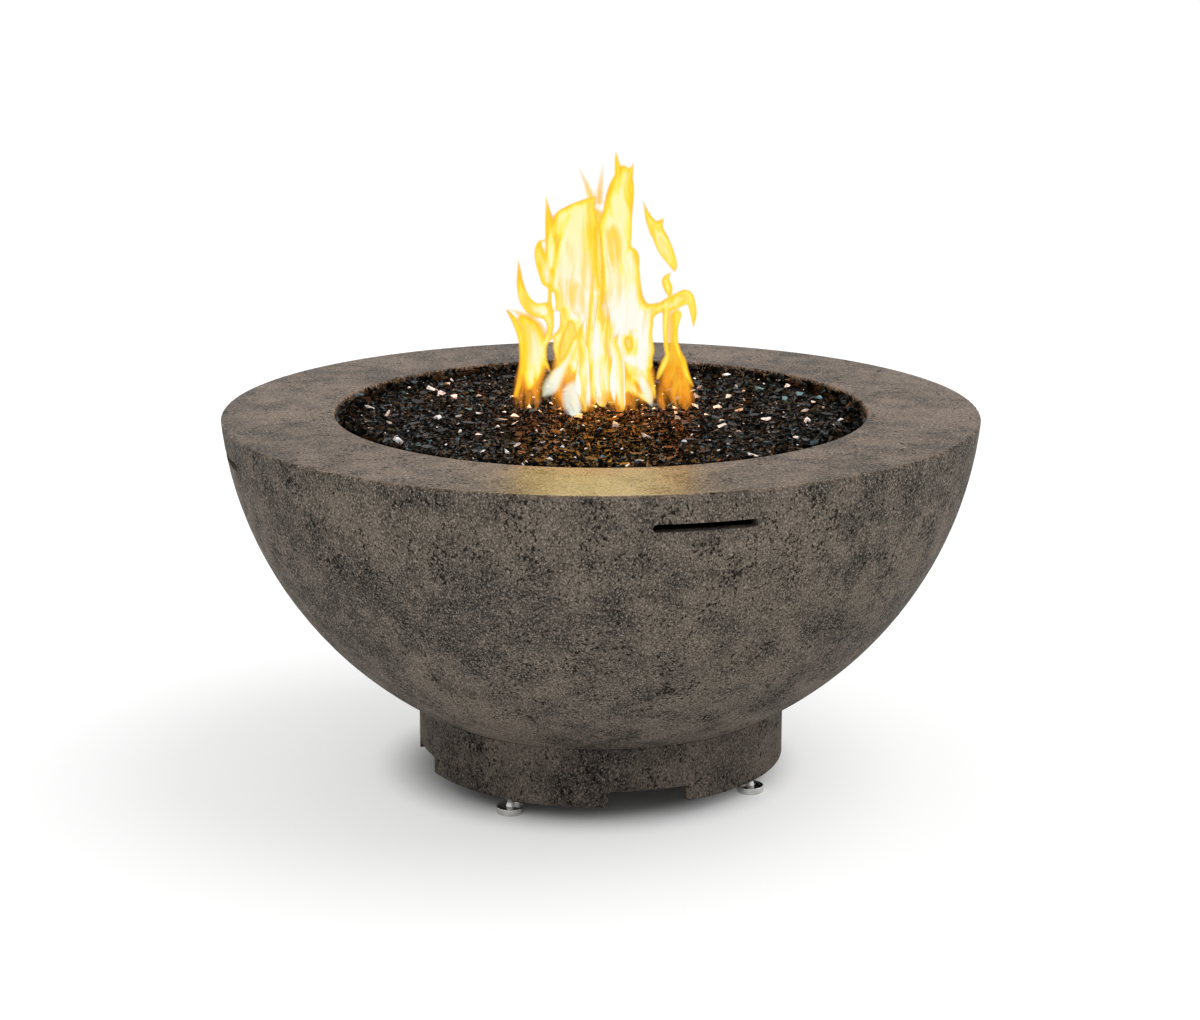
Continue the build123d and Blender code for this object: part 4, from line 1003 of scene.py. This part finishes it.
@dataclass
class ShardScatter:
    """A scatter of small pieces over a surface, as a Geometry Nodes tree."""

    name: str
    spacing: float
    least: float
    greatest: float
    seed: int
    tilt: float
    reach: float = GLASS_REACH
    skew: float = 1.0
    most: float = 60000.0

    def values(self) -> dict[str, tuple[str, float | int]]:
        """Kind and value of the tree's sizes.

        Returns:
            Both, by input name.
        """
        sizes = {
            "Spacing": self.spacing, "Least Size": self.least, "Greatest Size": self.greatest,
            "Skew": self.skew, "Tilt": self.tilt, "Reach": self.reach,
        }
        return {**{key: ("Float", value) for key, value in sizes.items()}, "Seed": ("Int", self.seed)}

    @staticmethod
    def chance(shade: Shade, seed: Socket, kind: str = "FLOAT", later: float = 0.0) -> Node:
        """A random value for each piece, from the seed or so much later."""
        after = shade.math("ADD", seed, later) if later else seed
        return shade.node("FunctionNodeRandomValue", {"data_type": kind}, Seed=after)

    def tree(self) -> Tree:
        """Build the node tree.

        Returns:
            The tree, with its sizes as named inputs.
        """
        tree = bpy.data.node_groups.new(self.name, "GeometryNodeTree")
        kinds = {"Geometry": "Geometry", **{key: kind for key, (kind, _) in self.values().items()}}
        kinds |= {"Shapes": "Collection", "Finish": "Material"}
        for key, kind in kinds.items():
            tree.interface.new_socket(name=key, in_out="INPUT", socket_type="NodeSocket" + kind)
        tree.interface.new_socket(name="Geometry", in_out="OUTPUT", socket_type="NodeSocketGeometry")
        shade = Shade(tree)
        given = shade.node("NodeGroupInput").outputs
        points = shade.node(
            "GeometryNodeDistributePointsOnFaces", {"distribute_method": "POISSON"}, Mesh=given["Geometry"],
            Distance_Min=given["Spacing"], Density_Max=self.most, Seed=given["Seed"],
        )
        out = shade.off_axis(shade.node("GeometryNodeInputPosition").outputs[0])
        near = shade.node(
            "GeometryNodeDeleteGeometry", {"domain": "POINT"}, Geometry=points.outputs["Points"],
            Selection=shade.math("GREATER_THAN", out, given["Reach"]),
        )
        shapes = shade.node("GeometryNodeCollectionInfo", Collection=given["Shapes"], Separate_Children=True)
        turn = self.chance(shade, given["Seed"], "FLOAT_VECTOR")
        back = shade.math("MULTIPLY", given["Tilt"], -1.0)
        shade.feed(turn.inputs[0], shade.node("ShaderNodeCombineXYZ", X=back, Y=back).outputs[0])
        far = shade.node("ShaderNodeCombineXYZ", X=given["Tilt"], Y=given["Tilt"], Z=2 * math.pi)
        shade.feed(turn.inputs[1], far.outputs[0])
        share = shade.math("POWER", self.chance(shade, given["Seed"], later=1.0).outputs[1], given["Skew"])
        room = shade.math("SUBTRACT", given["Greatest Size"], given["Least Size"])
        size = shade.math("ADD", given["Least Size"], shade.math("MULTIPLY", share, room))
        laid = shade.node(
            "GeometryNodeInstanceOnPoints", Points=near.outputs[0], Instance=shapes.outputs[0],
            Rotation=turn.outputs[0], Scale=size, Pick_Instance=True,
        )
        tint = self.chance(shade, given["Seed"], later=2.0).outputs[1]
        kept = shade.node(
            "GeometryNodeStoreNamedAttribute", {"data_type": "FLOAT", "domain": "INSTANCE"},
            Geometry=laid.outputs[0], Name="tint", Value=tint,
        )
        real = shade.node("GeometryNodeRealizeInstances", Geometry=kept.outputs[0])
        dressed = shade.node("GeometryNodeSetMaterial", Geometry=real.outputs[0], Material=given["Finish"])
        shade.node("NodeGroupOutput", Geometry=dressed.outputs[0])
        return tree

    def scatter(self, surface: Object, shapes: bpy.types.Collection, finish: Finish) -> Object:
        """Scatter the shapes and keep the result as a plain mesh.

        Args:
            surface: What the pieces lie on.
            shapes: The shapes to pick from.
            finish: Their finish.

        Returns:
            The new piece.
        """
        tree = self.tree()
        modifier = surface.modifiers.new(self.name, "NODES")
        modifier.node_group = tree
        values = {key: value for key, (_, value) in self.values().items()}
        values |= {"Shapes": shapes, "Finish": finish.material()}
        for item in tree.interface.items_tree:
            if item.in_out == "INPUT" and item.name in values:
                modifier[item.identifier] = values[item.name]
        bpy.context.view_layer.update()
        graph = bpy.context.evaluated_depsgraph_get()
        evaluated = surface.evaluated_get(graph)
        mesh = bpy.data.meshes.new_from_object(evaluated, preserve_all_data_layers=True, depsgraph=graph)
        surface.modifiers.remove(modifier)
        mesh.name = self.name
        return link_object(self.name, mesh)


@dataclass
class FireGlass:
    """Loose broken glass on the bed: thousands of dark pieces, heaped at the rim, and bright flakes, whose
    pale colours are partly painted glints.
    """

    node: str = "fire_glass_bed"
    bed_slope: float = 0.007
    chunk_rise: float = 0.0006
    level_normal: float = 0.9
    edge_inner: float = 0.398
    edge_outer: float = GLASS_REACH
    edge_rise: float = 0.0050
    edge_fall: float = 0.004
    edge_steps: int = 96
    flake_rise: float = 0.003
    shape_count: int = 9
    shape_points: int = 9
    shape_reach: Point = (0.5, 0.38, 0.17)
    seed: int = 7
    shards: ShardScatter = field(
        default_factory=lambda: ShardScatter("fire_glass_shards", 0.0046, 0.007, 0.0145, seed=11, tilt=0.8)
    )
    heap: ShardScatter = field(
        default_factory=lambda: ShardScatter("fire_glass_heap", 0.0070, 0.008, 0.021, seed=17, tilt=1.2)
    )
    flakes: ShardScatter = field(
        default_factory=lambda: ShardScatter("fire_glass_flakes", 0.036, 0.004, 0.025, 29, 0.45, 0.412, 3.2)
    )
    bed: GlassBed = GlassBed()
    dark: FireGlassFinish = FireGlassFinish(
        "fire_glass_dark",
        (
            (0.00, (0.0012, 0.0010, 0.0008)),
            (0.34, (0.006, 0.0045, 0.003)),
            (0.52, (0.036, 0.018, 0.007)),
            (0.72, (0.003, 0.003, 0.0025)),
            (0.86, (0.011, 0.016, 0.014)),
            (0.92, (0.060, 0.100, 0.115)),
            (0.95, (0.100, 0.070, 0.040)),
        ),
        0.05,
    )
    # the flakes' pale colours: partly their own, partly painted glints in place of reflections
    pale: FireGlassFinish = FireGlassFinish(
        "fire_glass_pale",
        (
            (0.00, (0.90, 0.78, 0.72)),
            (0.40, (0.46, 0.37, 0.32)),
            (0.60, (1.00, 0.96, 0.95)),
            (0.84, (0.14, 0.27, 0.32)),
        ),
        0.08,
    )

    def open_top(self) -> Object:
        """The level part of the solid bed's top, between its larger pieces.

        Returns:
            A spare object with a copy of those faces.
        """
        form = bmesh.new()
        form.from_mesh(frame["nodes"][self.node].data)
        form.transform(frame["nodes"][self.node].matrix_world)
        _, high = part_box(self.node)
        edge = max(v.co.z for v in form.verts if v.co.xy.length > high.x - self.chunk_rise)
        crown = self.bed_slope * high.x
        drop = []
        for face in form.faces:
            middle = face.calc_center_median()
            bed = edge + crown * (1 - middle.xy.length / high.x)
            if face.normal.z < self.level_normal or abs(middle.z - bed) > self.chunk_rise:
                drop.append(face)
        bmesh.ops.delete(form, geom=drop, context="FACES")
        return link_object("glass_top", form_mesh("glass_top", form))

    def edge_top(self) -> Object:
        """A ring along the wall of the rim, where the glass lies higher.

        Returns:
            A spare object with that ring.
        """
        _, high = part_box(self.node)
        level = high.z - self.bed_slope * high.x - self.chunk_rise + self.edge_rise
        steps = self.edge_steps
        corners = [
            (radius * math.cos(2 * math.pi * k / steps), radius * math.sin(2 * math.pi * k / steps), height)
            for radius, height in ((self.edge_inner, level - self.edge_fall), (self.edge_outer, level))
            for k in range(steps)
        ]
        faces = [(k, k + steps, (k + 1) % steps + steps, (k + 1) % steps) for k in range(steps)]
        return mesh_object("glass_edge", np.array(corners), faces)

    def shapes(self) -> bpy.types.Collection:
        """A few broken shapes, each the hull of some random points.

        Returns:
            A collection that holds them, out of the scene.
        """
        draw = random.Random(self.seed)
        kept = bpy.data.collections.new("shard_shapes")
        for number in range(self.shape_count):
            form = bmesh.new()
            for _ in range(self.shape_points):
                form.verts.new([draw.uniform(-1, 1) * reach for reach in self.shape_reach])
            hull = bmesh.ops.convex_hull(form, input=form.verts)
            inside = hull["geom_interior"] + hull["geom_unused"]
            spare = {g for g in inside if isinstance(g, bmesh.types.BMVert)}
            bmesh.ops.delete(form, geom=list(spare), context="VERTS")
            bmesh.ops.recalc_face_normals(form, faces=form.faces)
            name = f"shard_{number}"
            kept.objects.link(bpy.data.objects.new(name, form_mesh(name, form)))
        return kept

    def build(self) -> None:
        """Dress the bed and lay the loose pieces on it."""
        self.bed.dress(frame["nodes"][self.node])
        top = self.open_top()
        edge = self.edge_top()
        shapes = self.shapes()
        pieces = [self.shards.scatter(top, shapes, self.dark), self.heap.scatter(edge, shapes, self.dark)]
        top.data.transform(Matrix.Translation((0.0, 0.0, self.flake_rise)))
        pieces.append(self.flakes.scatter(top, shapes, self.pale))
        for spare in (top, edge, *shapes.objects):
            bpy.data.objects.remove(spare)
        bpy.data.collections.remove(shapes)
        for piece in pieces:
            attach(piece, "root")
            log.info("built %s with %d faces", piece.name, len(piece.data.polygons))


class Part(Enum):
    """What a streak of the flame's drawing is."""

    TONGUE = "bright gas"
    VEIL = "thin orange gas behind the tongues"
    FOOT = "a pale foot of gas in front of the tongues"
    SLOT = "a gap between tongues, where the veil shows"
    GAP = "a gap through tongues and veil"


@dataclass(frozen=True)
class Streak:
    """One streak of the flame, drawn along a line.

    The line's points are sideways place, height over the glass and half width, in millimetres.
    """

    part: Part
    line: Line


@dataclass
class FlameSheet:
    """A puffed sheet of flame: streaks that run together in one upright plane."""

    streaks: tuple[Streak, ...]
    heading: float
    set_back: float = 0.0
    spacing: float = 0.0025
    margin: float = 0.004
    blend: float = 0.006
    thickness: float = 0.022
    fullness: float = 0.024
    sway: float = 0.005
    sway_up: float = 17.0
    sway_across: float = 21.0
    line_points: int = 36

    def smooth(self, line: Line) -> np.ndarray:
        """Even points on a smooth line through a streak's own points.

        Args:
            line: The streak's points.

        Returns:
            One row for each step along it, in metres.
        """
        points = np.array(line, float) * MM
        ends = np.vstack((2 * points[0] - points[1], points, 2 * points[-1] - points[-2]))
        steps = np.linspace(0, len(points) - 1, self.line_points)
        cell = np.minimum(steps.astype(int), len(points) - 2)
        t = (steps - cell)[:, None]
        p0, p1, p2, p3 = (ends[cell + k] for k in range(4))
        bend = (2 * p0 - 5 * p1 + 4 * p2 - p3) * t**2 + (3 * p1 - p0 - 3 * p2 + p3) * t**3
        return 0.5 * (2 * p1 + (p2 - p0) * t + bend)

    def depth_in(self, places: np.ndarray, line: Line) -> np.ndarray:
        """How deep places lie inside one streak.

        Args:
            places: Sideways place and height of each place.
            line: The streak's points.

        Returns:
            The depth of each place, negative outside.
        """
        curve = self.smooth(line)
        deepest = np.full(len(places), -np.inf)
        for start, end in zip(curve, curve[1:]):
            run = end[:2] - start[:2]
            along = np.clip((places - start[:2]) @ run / max(run @ run, 1e-12), 0, 1)
            off = np.linalg.norm(places - start[:2] - along[:, None] * run, axis=1)
            deepest = np.maximum(deepest, start[2] + along * (end[2] - start[2]) - off)
        return deepest

    def depth(self, places: np.ndarray) -> np.ndarray:
        """How deep places lie inside all streaks together, which run into one another.

        Args:
            places: Sideways place and height of each place.

        Returns:
            The depth of each place, negative outside.
        """
        total = np.full(len(places), -1.0)
        for streak in self.streaks:
            own = self.depth_in(places, streak.line)
            if streak.part in (Part.SLOT, Part.GAP):
                total = np.minimum(total, -own)
                continue
            share = np.clip(0.5 + 0.5 * (total - own) / self.blend, 0, 1)
            total = own + (total - own) * share + self.blend * share * (1 - share)
        return total

    def mesh(self, ground: float) -> tuple[np.ndarray, list[tuple[int, ...]], np.ndarray, np.ndarray]:
        """Front and back of the sheet.

        Args:
            ground: Height of the glass.

        Returns:
            Vertices, faces, depth inside the rim and height over the glass.
        """
        points = np.vstack([np.array(s.line, float) for s in self.streaks]) * MM
        wide = points[:, 2].max() / 2 + self.margin
        across = np.arange(points[:, 0].min() - wide, points[:, 0].max() + wide, self.spacing)
        up = np.arange(points[:, 1].min() - wide, points[:, 1].max() + wide, self.spacing)
        side, rise = (grid.ravel() for grid in np.meshgrid(across, up))
        rim = self.depth(np.stack((side, rise), -1))
        puff = self.thickness * (1 - np.exp(-np.maximum(rim, 0) / self.fullness))
        wave = self.set_back + self.sway * np.sin(rise * self.sway_up + side * self.sway_across)
        right = np.array((math.cos(self.heading), math.sin(self.heading), 0))
        ahead = np.array((-math.sin(self.heading), math.cos(self.heading), 0))
        flat = side[:, None] * right + (rise + ground)[:, None] * np.array((0, 0, 1))
        front = flat + (wave - puff)[:, None] * ahead
        back = flat + (wave + puff)[:, None] * ahead
        columns = len(across)
        corner = (np.arange(len(up) - 1)[:, None] * columns + np.arange(columns - 1)).ravel()
        quads = np.stack((corner, corner + 1, corner + 1 + columns, corner + columns), -1)
        quads = quads[rim[quads].max(axis=1) > -self.margin / 2]
        faces = [tuple(q) for q in quads] + [tuple(q[::-1] + len(side)) for q in quads]
        return np.vstack((front, back)), faces, np.tile(rim, 2), np.tile(rise, 2)


VEIL = FlameFinish(
    "flame_veil",
    rim_stops=(
        (0.00, (1.0, 0.42, 0.10)),
        (0.25, (1.0, 0.56, 0.05)),
        (1.00, (1.0, 0.76, 0.10)),
    ),
    depth=0.022, body=(0.60, 0.95), root=(1.0, 0.33, 0.02), root_height=0.110, foot=(-0.016, 0.050),
    feather=0.011, streak=(1.0, 0.93, 0.35), streaks=0.6,
)
TONGUE = FlameFinish(
    "flame",
    rim_stops=(
        (0.00, (1.0, 0.42, 0.14)),
        (0.10, (1.0, 0.56, 0.05)),
        (0.22, (1.0, 0.76, 0.07)),
        (0.40, (1.0, 0.92, 0.26)),
        (0.66, (1.0, 0.98, 0.60)),
        (1.00, (1.0, 1.0, 0.93)),
    ),
    depth=0.015, body=(0.90, 0.97), root=(1.0, 0.42, 0.03), root_height=0.046, foot=(-0.010, 0.034),
)
FOOT = FlameFinish(
    "flame_foot",
    rim_stops=(
        (0.00, (1.0, 0.55, 0.12)),
        (0.35, (1.0, 0.90, 0.55)),
        (1.00, (0.96, 0.98, 0.92)),
    ),
    depth=0.010, body=(0.52, 1.0), root=(0.92, 0.93, 0.80), root_height=0.060, foot=(-0.016, 0.004),
    feather=0.010, streak=(1.0, 0.88, 0.45), streaks=1.4,
)


@dataclass
class Flame:
    """The burning gas over the middle of the bed.

    Its drawing is read in order: a gap cuts the streaks before it, and those after it are drawn over it.
    """

    heading: float = math.radians(-14.3)
    glow_radius: float = 0.085
    glow_height: float = 0.13
    glow_lift: float = 0.008
    glow: Glow = Glow()
    finishes: dict[Part, FlameFinish] = field(
        default_factory=lambda: {Part.VEIL: VEIL, Part.TONGUE: TONGUE, Part.FOOT: FOOT}
    )
    set_backs: dict[Part, float] = field(
        default_factory=lambda: {Part.VEIL: 0.030, Part.TONGUE: 0.008, Part.FOOT: -0.020}
    )
    drawing: tuple[tuple[Part, tuple[Line, ...]], ...] = (
        (Part.VEIL, (
            ((4, 6, 84), (4, 50, 86), (0, 120, 72), (-8, 200, 58), (-12, 260, 42), (-14, 305, 26)),
            ((-122, 10, 24), (-118, 40, 24), (-108, 75, 25), (-104, 105, 24), (-108, 130, 18),
             (-125, 150, 10), (-150, 163, 2)),
            ((-14, 336, 10), (-24, 365, 7), (-36, 392, 3)),
            ((-4, 336, 10), (0, 367, 7), (4, 396, 3)),
        )),
        (Part.TONGUE, (
            ((-12, 96, 62), (-14, 138, 70), (-16, 194, 70), (-23, 241, 53), (-33, 283, 35),
             (-37, 311, 23)),
            ((51, 86, 36), (51, 138, 35), (46, 185, 23), (42, 227, 21), (46, 250, 16), (50, 261, 2)),
            ((-37, 241, 33), (-37, 283, 29), (-33, 311, 26), (-26, 327, 16), (-16, 339, 7), (-8, 347, 1)),
            ((-70, 292, 12), (-64, 312, 12), (-50, 322, 11), (-34, 326, 10), (-18, 331, 8)),
            ((-78, 236, 11), (-80, 283, 10), (-83, 311, 7), (-85, 330, 4), (-87, 348, 1)),
            ((-84, 213, 14), (-94, 241, 12), (-99, 260, 8), (-97, 273, 4), (-90, 276, 1)),
            ((-88, 162, 14), (-107, 164, 12), (-122, 180, 10), (-129, 204, 7), (-131, 227, 4),
             (-132, 245, 1)),
            ((20, 236, 26), (22, 283, 28), (26, 316, 25), (31, 350, 23), (35, 372, 17), (36, 388, 8)),
            ((27, 388, 6), (25, 405, 4), (24, 419, 1)),
            ((46, 383, 6), (50, 393, 3), (51, 399, 1)),
            ((65, 157, 19), (81, 164, 12), (98, 171, 8), (109, 178, 6), (117, 185, 2)),
            ((119, 225, 1), (115, 239, 8), (102, 264, 13), (91, 288, 12), (79, 306, 8), (72, 323, 4),
             (67, 341, 1)),
            ((86, 290, 8), (94, 302, 6), (100, 312, 1)),
            ((111, 183, 1), (108, 199, 8), (104, 213, 7), (112, 225, 1)),
        )),
        (Part.GAP, (
            ((-71, 157, 4), (-72, 136, 4), (-80, 122, 1)),
            ((-80, 113, 3), (-85, 95, 6), (-84, 78, 4), (-82, 72, 1)),
            ((92, 140, 7), (92, 123, 8), (96, 98, 9), (91, 79, 7), (91, 58, 2)),
        )),
        (Part.SLOT, (
            ((8, 72, 2), (17, 52, 6), (28, 32, 5)),
            ((38, 64, 2), (43, 55, 4), (48, 46, 2)),
            ((-19, 84, 2), (-19, 66, 4), (-18, 52, 3)),
            ((-58, 76, 3), (-56, 58, 5), (-52, 38, 4)),
            ((-42, 56, 2), (-40, 42, 3)),
            ((-26, 102, 1), (-25, 78, 3), (-26, 70, 2)),
            ((42, 116, 1), (44, 110, 3), (46, 103, 1)),
            ((8, 134, 2), (8, 118, 3)),
            ((-48, 139, 3), (-50, 118, 9), (-55, 98, 10), (-62, 80, 3)),
            ((-77, 190, 1), (-76, 176, 2), (-75, 164, 1)),
            ((-5, 296, 1), (-3, 262, 2), (-2, 232, 3), (-1, 205, 1)),
        )),
        (Part.VEIL, (
            ((122, 12, 32), (120, 48, 26), (120, 75, 16), (117, 100, 12), (115, 125, 12), (116, 150, 12)),
        )),
        (Part.TONGUE, (
            ((-88, 162, 10), (-82, 139, 6), (-85, 120, 6), (-93, 103, 6), (-93, 85, 6), (-87, 73, 4),
             (-83, 65, 2)),
            ((-150, 163, 3), (-137, 143, 6), (-128, 115, 6), (-126, 85, 6), (-130, 55, 5), (-138, 24, 4)),
            ((-128, 150, 6), (-114, 134, 14), (-107, 105, 18), (-108, 80, 18), (-112, 58, 14),
             (-116, 40, 7)),
            ((106, 175, 8), (104, 150, 6), (104, 120, 5), (106, 100, 5), (108, 92, 5), (103, 78, 6),
             (96, 62, 5), (92, 52, 3)),
            ((123, 157, 8), (120, 135, 5), (120, 115, 5), (125, 97, 5), (132, 82, 6), (136, 65, 6),
             (143, 50, 4), (149, 40, 2)),
            ((112, 172, 10), (128, 182, 13), (137, 185, 12), (145, 176, 8), (149, 157, 6), (149, 137, 2)),
            ((-27, 131, 6), (-30, 74, 6), (-35, 34, 5), (-40, 21, 3)),
            ((-5, 115, 10), (-6, 66, 8), (0, 26, 3)),
            ((6, 98, 6), (13, 53, 5), (19, 24, 4)),
            ((29, 90, 8), (38, 53, 8), (55, 31, 9), (77, 15, 5)),
            ((64, 82, 10), (74, 50, 8), (83, 18, 4)),
            ((-40, 112, 7), (-52, 88, 7), (-64, 68, 9), (-74, 52, 10)),
        )),
        (Part.FOOT, (
            ((-46, 100, 4), (-58, 78, 8), (-72, 60, 14), (-80, 46, 15), (-89, 34, 7), (-94, 29, 2)),
            ((-32, 66, 4), (-38, 48, 10), (-46, 36, 17), (-46, 22, 18), (-44, 8, 15), (-42, -2, 9)),
            ((58, 76, 4), (66, 54, 9), (74, 34, 10), (81, 15, 5)),
        )),
        (Part.TONGUE, (
            ((44, 72, 8), (56, 58, 9), (68, 42, 9), (76, 26, 7), (80, 12, 3)),
            ((72, 62, 6), (80, 46, 5), (84, 32, 5), (86, 20, 3)),
            ((6, 60, 3), (12, 36, 4), (20, 24, 5), (32, 25, 5), (44, 36, 4), (50, 48, 5)),
            ((-6, 60, 8), (-5, 30, 6), (-3, 14, 2)),
        )),
    )
    cross_turns: Pair = (math.radians(60), math.radians(120))
    cross_spacing: float = 0.005
    cross_reach: float = 58.0
    cross_count: int = 5
    cross_seed: int = 5
    cross_shift: float = 6.0
    cross_top: float = 290.0
    cross_fall: float = 2.2
    cross_tall: Band = (0.8, 1.0)
    cross_wide: Band = (12.0, 20.0)
    cross_lean: float = 16.0
    cross_foot: Pair = (22.0, 0.8)
    cross_body: Line = ((-0.4, 0.35, 1.1), (0.3, 0.65, 0.8), (-0.2, 0.85, 0.4))

    def cross_streaks(self, draw: random.Random) -> tuple[Streak, ...]:
        """Lower tongues of a sheet that stands across the front one.

        Args:
            draw: Source of chance.

        Returns:
            The tongues.
        """
        made = []
        for number in range(self.cross_count):
            side = self.cross_reach * (2 * number / (self.cross_count - 1) - 1)
            side += draw.uniform(-self.cross_shift, self.cross_shift)
            tall = (self.cross_top - self.cross_fall * abs(side)) * draw.uniform(*self.cross_tall)
            wide = draw.uniform(*self.cross_wide)
            lean = draw.uniform(-self.cross_lean, self.cross_lean)
            foot = (side, self.cross_foot[0], wide * self.cross_foot[1])
            body = ((side + lean * a, tall * b, wide * c) for a, b, c in self.cross_body)
            made.append(Streak(Part.TONGUE, (foot, *body, (side + lean, tall, 1))))
        return tuple(made)

    def sheets(self) -> list[tuple[Part, FlameSheet]]:
        """The drawn sheets, one behind the other, and the bright ones that stand across them.

        Returns:
            The sheets and what each is.
        """
        cuts = {Part.VEIL: (Part.GAP,), Part.TONGUE: (Part.GAP, Part.SLOT), Part.FOOT: ()}
        made = []
        for part, cut in cuts.items():
            shown = [(own, lines) for own, lines in self.drawing if own in (part, *cut)]
            streaks = tuple(Streak(own, line) for own, lines in shown for line in lines)
            made.append((part, FlameSheet(streaks, self.heading, self.set_backs[part])))
        draw = random.Random(self.cross_seed)
        for turn in self.cross_turns:
            sheet = FlameSheet(self.cross_streaks(draw), self.heading + turn, spacing=self.cross_spacing)
            made.append((Part.TONGUE, sheet))
        return made

    def heart(self, ground: float) -> Object:
        """Body of light inside the flame, which the camera doesn't see.

        Args:
            ground: Height of the glass.

        Returns:
            The body.
        """
        form = bmesh.new()
        bmesh.ops.create_icosphere(form, subdivisions=2, radius=1.0)
        for vertex in form.verts:
            vertex.co.x *= self.glow_radius
            vertex.co.y *= self.glow_radius
            vertex.co.z = ground + self.glow_lift + self.glow_height * (1 + vertex.co.z) / 2
        return link_object("flame_glow", form_mesh("flame_glow", form))

    def gas(self, part: Part, ground: float) -> Object:
        """All sheets of one part of the flame.

        Args:
            part: Which part.
            ground: Height of the glass.

        Returns:
            One object that holds them.
        """
        vertices, faces, rims, rises, count = [], [], [], [], 0
        for own, sheet in self.sheets():
            if own is not part:
                continue
            points, quads, rim, rise = sheet.mesh(ground)
            vertices.append(points)
            faces += [tuple(count + int(k) for k in quad) for quad in quads]
            rims.append(rim)
            rises.append(rise)
            count += len(points)
        made = mesh_object(self.finishes[part].name, np.vstack(vertices), faces)
        for name, values in (("rim", rims), ("rise", rises)):
            held = made.data.attributes.new(name, "FLOAT", "POINT")
            held.data.foreach_set("value", np.concatenate(values).astype(np.float32))
        made.data.polygons.foreach_set("use_smooth", [True] * len(made.data.polygons))
        return made

    def build(self) -> None:
        """Make the flame and its light, which aren't pieces of the object."""
        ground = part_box("fire_glass_bed")[1].z
        made = []
        for part, finish in self.finishes.items():
            sheet = self.gas(part, ground)
            finish.dress(sheet)
            sheet.visible_diffuse = False
            made.append(sheet)
        heart = self.heart(ground)
        self.glow.dress(heart)
        heart.visible_camera = False
        heart.visible_glossy = False
        for piece in (*made, heart):
            piece.visible_shadow = False
            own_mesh(piece)
            log.info("lit %s with %d faces", piece.name, len(piece.data.polygons))


@dataclass
class Studio:
    """Pale floor, soft light from all round, a little more from the right, and the photograph's camera."""

    floor_reach: float = 60.0
    sun_strength: float = 1.0
    sun_width: float = math.radians(50)
    sun_from: Point = (0.5135, -0.131, 0.848)
    sky_strength: float = 0.78
    camera_place: Point = (-1.0296, -4.0336, 1.4626)
    camera_tilt: float = math.radians(90 - 13.889)
    camera_heading: float = math.radians(-14.3)
    camera_lens: float = 78.73
    clear_layers: int = 48

    def build(self) -> None:
        """Make the floor, the lights, the sky and the camera."""
        ways = ((-1, -1, 0), (1, -1, 0), (1, 1, 0), (-1, 1, 0))
        floor = mesh_object("studio_floor", np.array(ways) * self.floor_reach, [(0, 1, 2, 3)])
        StudioFloor().dress(floor)
        lamp = bpy.data.lights.new("soft_sun", "SUN")
        lamp.energy = self.sun_strength
        lamp.angle = self.sun_width
        sun = link_object("soft_sun", lamp)
        sun.rotation_euler = Vector(self.sun_from).to_track_quat("Z", "Y").to_euler()
        self.sky()
        lens = bpy.data.cameras.new("camera")
        lens.lens = self.camera_lens
        camera = link_object("camera", lens)
        camera.location = self.camera_place
        camera.rotation_euler = (self.camera_tilt, 0.0, self.camera_heading)
        scene = bpy.context.scene
        scene.camera = camera
        scene.view_settings.view_transform = "Standard"
        scene.cycles.transparent_max_bounces = self.clear_layers
        log.info("set up the studio")

    def sky(self) -> None:
        """Even sky: white to look at and in metal and glass, plain as a light."""
        world = bpy.data.worlds.new("studio_sky")
        bpy.context.scene.world = world
        world.use_nodes = True
        world.node_tree.nodes.clear()
        shade = Shade(world.node_tree)
        path = shade.node("ShaderNodeLightPath")
        strength: Feed = self.sky_strength
        for ray in ("Is Camera Ray", "Is Glossy Ray", "Is Transmission Ray"):
            strength = shade.math("MAXIMUM", path.outputs[ray], strength)
        back = shade.node("ShaderNodeBackground", Color=(1.0, 1.0, 1.0), Strength=strength)
        shade.node("ShaderNodeOutputWorld", Surface=back.outputs[0])


def main() -> None:
    """Dress the castings and the gas train, lay the glass, light the flame and set up the studio."""
    logging.basicConfig(level=logging.INFO, format="%(message)s")
    ConcreteBody().dress()
    LevellingFeet().dress()
    GasTrain().dress()
    FireGlass().build()
    Flame().build()
    Studio().build()


if __name__ == "__main__":
    main()
